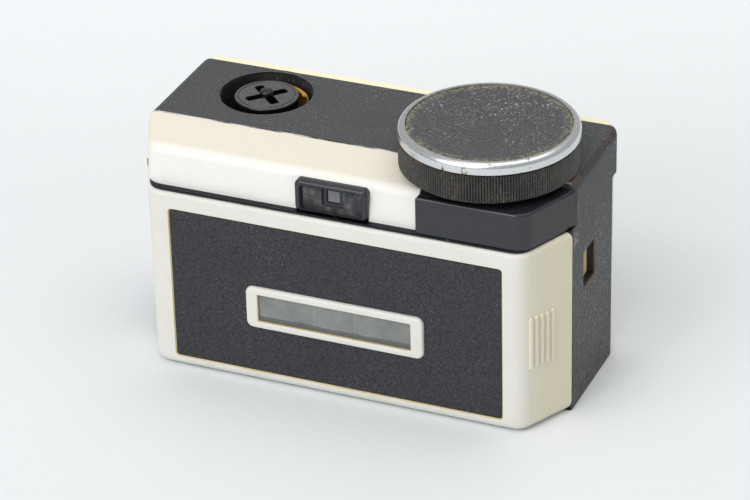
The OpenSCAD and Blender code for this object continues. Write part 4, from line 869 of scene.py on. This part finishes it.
def contact_leaf(angle, half_turn):
    """A bent brass leaf standing against the well's wall."""
    r, t, steps = 10.2, 0.35, 10
    z0, z1 = [corner.z for corner in node_box("flash_contacts")]
    section = rounded([(r, z0), (r + t, z0), (r + t, z1 - 0.5), (r - 0.9, z1), (r - 1.1, z1 - 0.5),
                       (r, z1 - 0.8)], [0, 0, 0.6, 0.1, 0.1, 0.4], 4)
    rings = []
    for k in range(steps + 1):
        a = radians(angle) + half_turn * (2 * k / steps - 1)
        rings.append([Vector((flash.x + p.x * cos(a), flash.y + p.x * sin(a), p.y))
                      for p in section])
    return loft("leaf", rings)


make_drum()
contacts = join(contact_leaf(55, radians(20)), contact_leaf(108, radians(13)))
contacts.name = "contacts"
dress(contacts, "body", "brass", [BRASS], "flash_contacts")

# Winding knob

ring_low, ring_high = node_box("knob_ring")
disc_low, disc_high = node_box("knob_disc")
ring_r, disc_r = ring_high.x - knob.x, disc_high.x - knob.x
rib_count, rib_d = 200, 0.28


def knurl(r, depth, z):
    """A ring of fine upright ribs at a height."""
    ring = []
    for i in range(rib_count):
        for share, fall in ((0, depth), (0.3, 0), (0.7, 0)):
            a = 2 * pi * (i + share) / rib_count
            ring.append(Vector((knob.x + (r - fall) * cos(a), knob.y + (r - fall) * sin(a), z)))
    return ring


def make_knob():
    """The knob: a knurled skirt with a hub, a bright ring and a grained disc."""
    low_z, high_z, r = node_box("knob_body")[0].z, ring_low.z, ring_r - 0.1
    web_r, skirt_t, seat_r, hub_r = 12, 1.8, disc_r - 0.3, 4.9
    web_z, top_z = high_z - 2.2, high_z - 0.2
    rings = [knurl(*row) for row in (
        (web_r, 0, web_z), (r - skirt_t, 0, web_z), (r - skirt_t, 0, low_z), (r - 0.6, 0, low_z),
        (r, rib_d, low_z + 0.5), (r, rib_d, high_z - 0.5), (r - 0.5, 0, top_z), (seat_r, 0, top_z),
        (seat_r, 0, disc_low.z))]
    skirt = loft("knob_skirt", rings)
    hub = lathe("hub", [(hub_r, low_z + 0.5), (hub_r, high_z - 2)], knob_axis, 48)
    dress(join(skirt, hub), "knob", "black_plastic", [KNURL], "knob_body")

    bore = disc_r + 0.02
    corners = [(bore, ring_low.z), (ring_r, ring_low.z), (ring_r, ring_high.z), (bore, ring_high.z)]
    profile = turned(corners, [0, 0.3, 1.5, 0], 8) + [(bore, ring_high.z - 0.3)]
    ring = lathe("knob_ring", profile, knob_axis, 160, closed=True)
    dress(ring, "knob", "chrome_trim", [CHROME], "knob_ring")

    corners = [(CORE, disc_low.z), (disc_r, disc_low.z), (disc_r, disc_high.z), (CORE, disc_high.z)]
    disc = lathe("knob_disc", turned(corners, [0, 0, 0.3, 0]), knob_axis, 160)
    dress(disc, "knob", "leatherette", [DISC_BLACK], "knob_disc")


make_knob()

# Front

brow_x, brow_r, brow_edge = 53.8, 2.6, 0.8
tube_r = 12.5
release_low, release_high = node_box("shutter_release")
release_x, release_z = (release_low.x + release_high.x) / 2, 40


def behind(y):
    """Cutting volume of all that lies behind a plane."""
    return block("rear", (-FAR, y - REACH, -FAR), (FAR, y, FAR))


def make_front():
    """The pale front: a shell with a seat for its sheet, and the brow strip along the roof."""
    low_z, low_edge, high_edge = front_low.z, 0.9, 0.3

    def plan(y0, depth=0.0):
        x, y1, r = half_w - depth, front_y - depth, front_r - depth
        return rounded([(-x, y0), (x, y0), (x, y1), (-x, y1)], [0, 0, r, r], 8)

    lower = slab("front_shell", plan(front_y0 - 3), low_z, deck_z, low_edge, high_edge)
    room = slab("room", plan(front_y0 - 5, wall), low_z - OVER, deck_z + OVER)
    cut(lower, room, behind(front_y0))

    root = roof_y1 - 3
    strip = rounded([(-brow_x, root), (brow_x, root), (brow_x, brow_y), (-brow_x, brow_y)],
                    [0, 0, brow_r, brow_r], 8)
    brow = slab("brow", strip, deck_z - wall, roof_z, brow_edge, brow_edge)
    cut(brow, behind(roof_y1), block("room", (-brow_x + wall, roof_y1 - 5, deck_z),
                                     (brow_x - wall, brow_y - wall, roof_z - wall)))

    gap, seat_r, x = 0.1, 1.5, release_x
    low, high = node_box("front_trim")
    seat = box_face(low, high, gap, seat_r)
    recess = flared("recess", seat, [(0, low.y), (0, front_y - lip), (-lip - OVER, front_y + OVER)])
    lens = lathe("lens_hole", [(tube_r, 0), (tube_r, FAR)], (0, film_z), 64, upright)
    slot_half, slot_z0, slot_z1 = 1.5, 34, 42
    slot = block("slot", (x - slot_half, front_y0, slot_z0),
                 (x + slot_half, front_y + 2 * OVER, slot_z1))
    cut(lower, recess, lens, slot)

    rim = 0.6
    low, high = node_box("finder_window")
    opening = box_face(low, high, -rim, rim)
    sight = flared("sight", opening, [(0, brow_y - 3), (0, brow_y - rim), (-2 * rim, brow_y + rim)])
    bay_r = cup_r + 0.2
    bay = lathe("bay", [(bay_r, deck_z), (bay_r, roof_z + OVER)], flash_axis, 64)
    cut(brow, sight, bay)

    shelf_half, shelf_z0, shelf_z1, bridge_x = 4, 12.4, 14, half_w - 6
    shelf = block("shelf", (x - shelf_half, front_y - 6.5, shelf_z0),
                  (x + shelf_half, front_y - 1.7, shelf_z1))
    bridge = block("bridge", (-bridge_x, front_y - wall, deck_z - wall),
                   (bridge_x, roof_y1 + 0.5, deck_z))
    dress(join(lower, brow, shelf, bridge), "body", "cream_plastic", [CREAM_FRONT], "front_cover")


def make_lens():
    """The lens tube with its flange and grooves, and the bright ring round its mouth."""
    low, high = node_box("lens_barrel")
    stop_r, rear_r, mouth_r, cell_r, flange_r = 3.8, 5.02, 9.22, 7, high.x
    rear_y, mouth_y, cell_y = low.y + 3, high.y - 4.2, high.y - 7.2
    flange_y0, flange_y1 = front_y - 0.2, front_y + 1.4
    step_y, groove_r, groove_pitch, end_gap = flange_y1 + 0.4, tube_r - 0.3, 1.3, 1.2
    steps = [(stop_r, rear_y), (rear_r, rear_y), (rear_r, low.y), (tube_r, low.y),
             (tube_r, flange_y0), (flange_r, flange_y0), (flange_r, flange_y1),
             (tube_r + 1.2, flange_y1), (tube_r + 1.0, step_y), (tube_r, step_y)]
    y = flange_y1 + end_gap
    while y < high.y - end_gap:
        steps += [(tube_r, y), (groove_r, y + 0.2), (groove_r, y + 0.5), (tube_r, y + 0.7)]
        y += groove_pitch
    steps += [(tube_r, high.y), (mouth_r, high.y), (mouth_r, mouth_y), (cell_r, mouth_y),
              (cell_r, cell_y), (stop_r, cell_y)]
    tube = lathe("lens_tube", steps, (0, film_z), 128, upright, closed=True)
    dress(tube, "body", "black_plastic", [BLACK], "lens_barrel")

    low, high = node_box("lens_ring")
    bore, foot_r = 7.3, 9.2
    corners = [(bore, low.y + 0.9), (foot_r, low.y), (tube_r, low.y), (tube_r, high.y),
               (tube_r - 1.4, high.y), (bore, low.y + 1.2)]
    profile = turned(corners, [0, 0, 0.15, 0.7, 0.3, 0])
    bezel = lathe("lens_bezel", profile, (0, film_z), 128, upright, closed=True)
    dress(bezel, "body", "chrome_trim", [CHROME], "lens_ring")


def make_release():
    """The release: a ribbed pad on the front, its shank, slide and foot."""
    x, z, out, rear = release_x, release_z, release_high.y, release_low.y
    pad_w, pad_h, pad_r, rib_half, rib_r, rib_out = 8, 5, 1.2, 2.6, 0.25, 0.2
    slide_half, slide_h, slide_y0, slide_y1 = 5.5, 8, front_y - 3.7, front_y - 2.1
    face = box_outline(x - pad_w / 2, x + pad_w / 2, z - pad_h / 2, z + pad_h / 2, pad_r)
    pad = slab("release_pad", face, front_y + 0.4, out, 0.2, 0.9, place=upright)
    ribs = []
    for rib_z in (z - 1.2, z, z + 1.2):
        bar = box_outline(x - rib_half, x + rib_half, rib_z - rib_r, rib_z + rib_r, 0.2)
        ribs.append(slab("rib", bar, out - rib_out, out, 0, 0.12, place=upright))
    shank = block("shank", (x - 1.3, rear, z - 1.8), (x + 1.3, front_y + 0.5, z + 1.8))
    slide = block("slide", (x - slide_half, slide_y0, z - slide_h),
                  (x + slide_half, slide_y1, z + slide_h), 0.2)
    foot = block("foot", (x - 2.15, rear, z - slide_h), (x + 2.15, slide_y1, z - 6.4))
    release = join(pad, shank, slide, foot, *ribs)
    dress(release, "release", "gloss_black", [GLOSS], "shutter_release")


def make_coil():
    """The release's return spring, which the release presses together; the coil is drawn at rest."""
    low, high = node_box("return_spring")
    wire, turns, steps, sides, travel = 0.35, 8, 24, 10, 4
    x, y, r = (low.x + high.x) / 2, (low.y + high.y) / 2, (high.x - low.x) / 2 - wire
    pitch = (high.z - low.z - 2 * wire) / turns
    rings = []
    for i in range(turns * steps + 1):
        turn = i / steps
        out = Vector((cos(2 * pi * turn), sin(2 * pi * turn), 0))
        centre = Vector((x, y, low.z + wire + pitch * turn)) + out * r
        rings.append([centre + out * (wire * c[0]) + Vector((0, 0, wire * c[1]))
                      for c in circle(1, sides)])
    coil = dress(loft("return_coil", rings), "body", "steel", [STEEL], "return_spring")
    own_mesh(coil)


make_front()
make_lens()
make_release()
make_coil()


def make_bush():
    """The tripod bush with its thread."""
    high = node_box("tripod_bush")[1]
    r, thread_r, thread_d, pitch, depth, start = high.x, 3.175, 0.4, 1.27, 5.5, 0.3
    root_r, chamfer = thread_r - thread_d, 0.25
    profile = [(CORE, high.z), (r, high.z), (r, chamfer), (r - chamfer, 0), (thread_r + start, 0),
               (thread_r, start)]
    z = start
    while z + pitch < depth:
        profile += [(root_r, z + pitch * 0.4), (root_r, z + pitch * 0.6), (thread_r, z + pitch)]
        z += pitch
    profile += [(thread_r, depth), (CORE, depth)]
    bush = lathe("tripod_bush", profile, (0, 0), 64)
    dress(bush, "body", "brass", [BRASS], "tripod_bush")


make_bush()


# CAD nodes that keep their own shape

def fine_edges():
    """Node group that welds a mesh, and shades it smooth except at sharp edges."""
    group = bpy.data.node_groups.new("fine_edges", "GeometryNodeTree")
    for way in ("INPUT", "OUTPUT"):
        group.interface.new_socket("Geometry", in_out=way, socket_type="NodeSocketGeometry")
    start, weld, smooth, sharp, angle, steep, end = [group.nodes.new(kind) for kind in (
        "NodeGroupInput", "GeometryNodeMergeByDistance", "GeometryNodeSetShadeSmooth",
        "GeometryNodeSetShadeSmooth", "GeometryNodeInputMeshEdgeAngle", "FunctionNodeCompare",
        "NodeGroupOutput")]
    sharp.domain = "EDGE"
    sharp.inputs["Shade Smooth"].default_value = False
    weld.inputs["Distance"].default_value = 0.002 * MM
    steep.inputs["B"].default_value = SHARP
    chain = (start, weld, smooth, sharp, end)
    for source, target in zip(chain, chain[1:]):
        group.links.new(source.outputs[0], target.inputs[0])
    group.links.new(angle.outputs["Unsigned Angle"], steep.inputs["A"])
    group.links.new(steep.outputs["Result"], sharp.inputs["Selection"])
    return group


FINE = fine_edges()
FINISH = {"door_release": CREAM_AGED, "door_inlay": INLAY, "finder_window": LENS_GLASS,
          "eyepiece_lens": EYE_GLASS, "flash_cup": BLACK}
for part in frame["record"]["subparts"]:
    node = frame["nodes"][part["node"]]
    if node.hide_render:
        continue
    node.data.materials.clear()
    node.data.materials.append(FINISH.get(part["node"], SLOTS[part["material_slot"]]))
    node.modifiers.new("fine", "NODES").node_group = FINE

# Stage: floor, light, and the photograph's camera, fitted to the corners of the object in it

azimuth, elevation, roll = radians(23.404), radians(29.384), radians(-1.503)
sensor, focal, camera_at = 36, 165.37, (0.29644, -0.68487, 0.44846)  # the place in metres
cool, warm = (0.97, 0.985, 1), (1, 0.97, 0.92)
floor_half, floor_r, floor_t, floor_z = 4000, 200, 20, -0.02


def make_floor():
    """A pale floor that grows paler away from the object, for what the camera sees of it; its glow is weakest near
    the object, which paints a soft shade round it.
    """
    paint = Paint("floor", IOR=1.4, Emission_Color=(*cool, 1))
    paint.feed(Base_Color=paint.mix(paint.noise(220, 2), (231, 234, 236), (225, 229, 231)),
               Roughness=paint.ramp(paint.noise(60, 3), 0.3, 0.7, 0.55, 0.7))
    path = paint.add("ShaderNodeLightPath").outputs
    seen = paint.math("MAXIMUM", path["Is Camera Ray"], path["Is Glossy Ray"])
    seen = paint.math("MAXIMUM", seen, path["Is Transmission Ray"])
    away = paint.add("ShaderNodeMapping", {"vector_type": "TEXTURE"}, Vector=paint.place,
                     Rotation=(0, 0, azimuth), Scale=(3.3, 1, 1)).outputs["Vector"]
    # Painted shade: the glow starts low near the object and grows with distance.
    glow = paint.ramp(paint.length(away), 0.09, 0.42, 0.02, 0.25)
    paint.feed(Emission_Strength=paint.times(seen, glow))
    outline = box_outline(-floor_half, floor_half, -floor_half, floor_half, floor_r)
    floor = slab("floor", outline, -floor_t, floor_z)
    floor.data.materials.append(paint.material)


def lamp(name, at, size, power, colour=(1, 1, 1)):
    """A square soft light at a place in metres, aimed at the middle of the object."""
    light = bpy.data.lights.new(name, "AREA")
    light.size, light.energy, light.color = size, power, colour
    shown = bpy.data.objects.new(name, light)
    shown.location = at
    shown.rotation_euler = (Vector((0, 0, 0.03)) - Vector(at)).to_track_quat("-Z", "Y").to_euler()
    bpy.context.scene.collection.objects.link(shown)


make_floor()
world = bpy.data.worlds.new("studio")
bpy.context.scene.world = world
world.use_nodes = True
sky = world.node_tree.nodes["Background"].inputs
sky["Color"].default_value = (*cool, 1)
sky["Strength"].default_value = 0.5

lamp("key", (-0.5, -1.6, 1.6), 2.0, 29)
lamp("top", (0.3, 0.4, 2.2), 2.0, 17, warm)
lamp("spark", (-0.4, -1.4, 1.7), 0.3, 3)

across = Vector((cos(azimuth), sin(azimuth), 0))
back = Vector((sin(azimuth) * cos(elevation), -cos(azimuth) * cos(elevation), sin(elevation)))
up = back.cross(across)
axes = (cos(roll) * across + sin(roll) * up, cos(roll) * up - sin(roll) * across, back)
camera = bpy.data.objects.new("camera", bpy.data.cameras.new("camera"))
camera.data.sensor_width, camera.data.lens = sensor, focal
camera.matrix_world = Matrix.Translation(camera_at) @ Matrix(axes).transposed().to_4x4()
bpy.context.scene.collection.objects.link(camera)
bpy.context.scene.camera = camera
bpy.context.scene.view_settings.view_transform = "Standard"
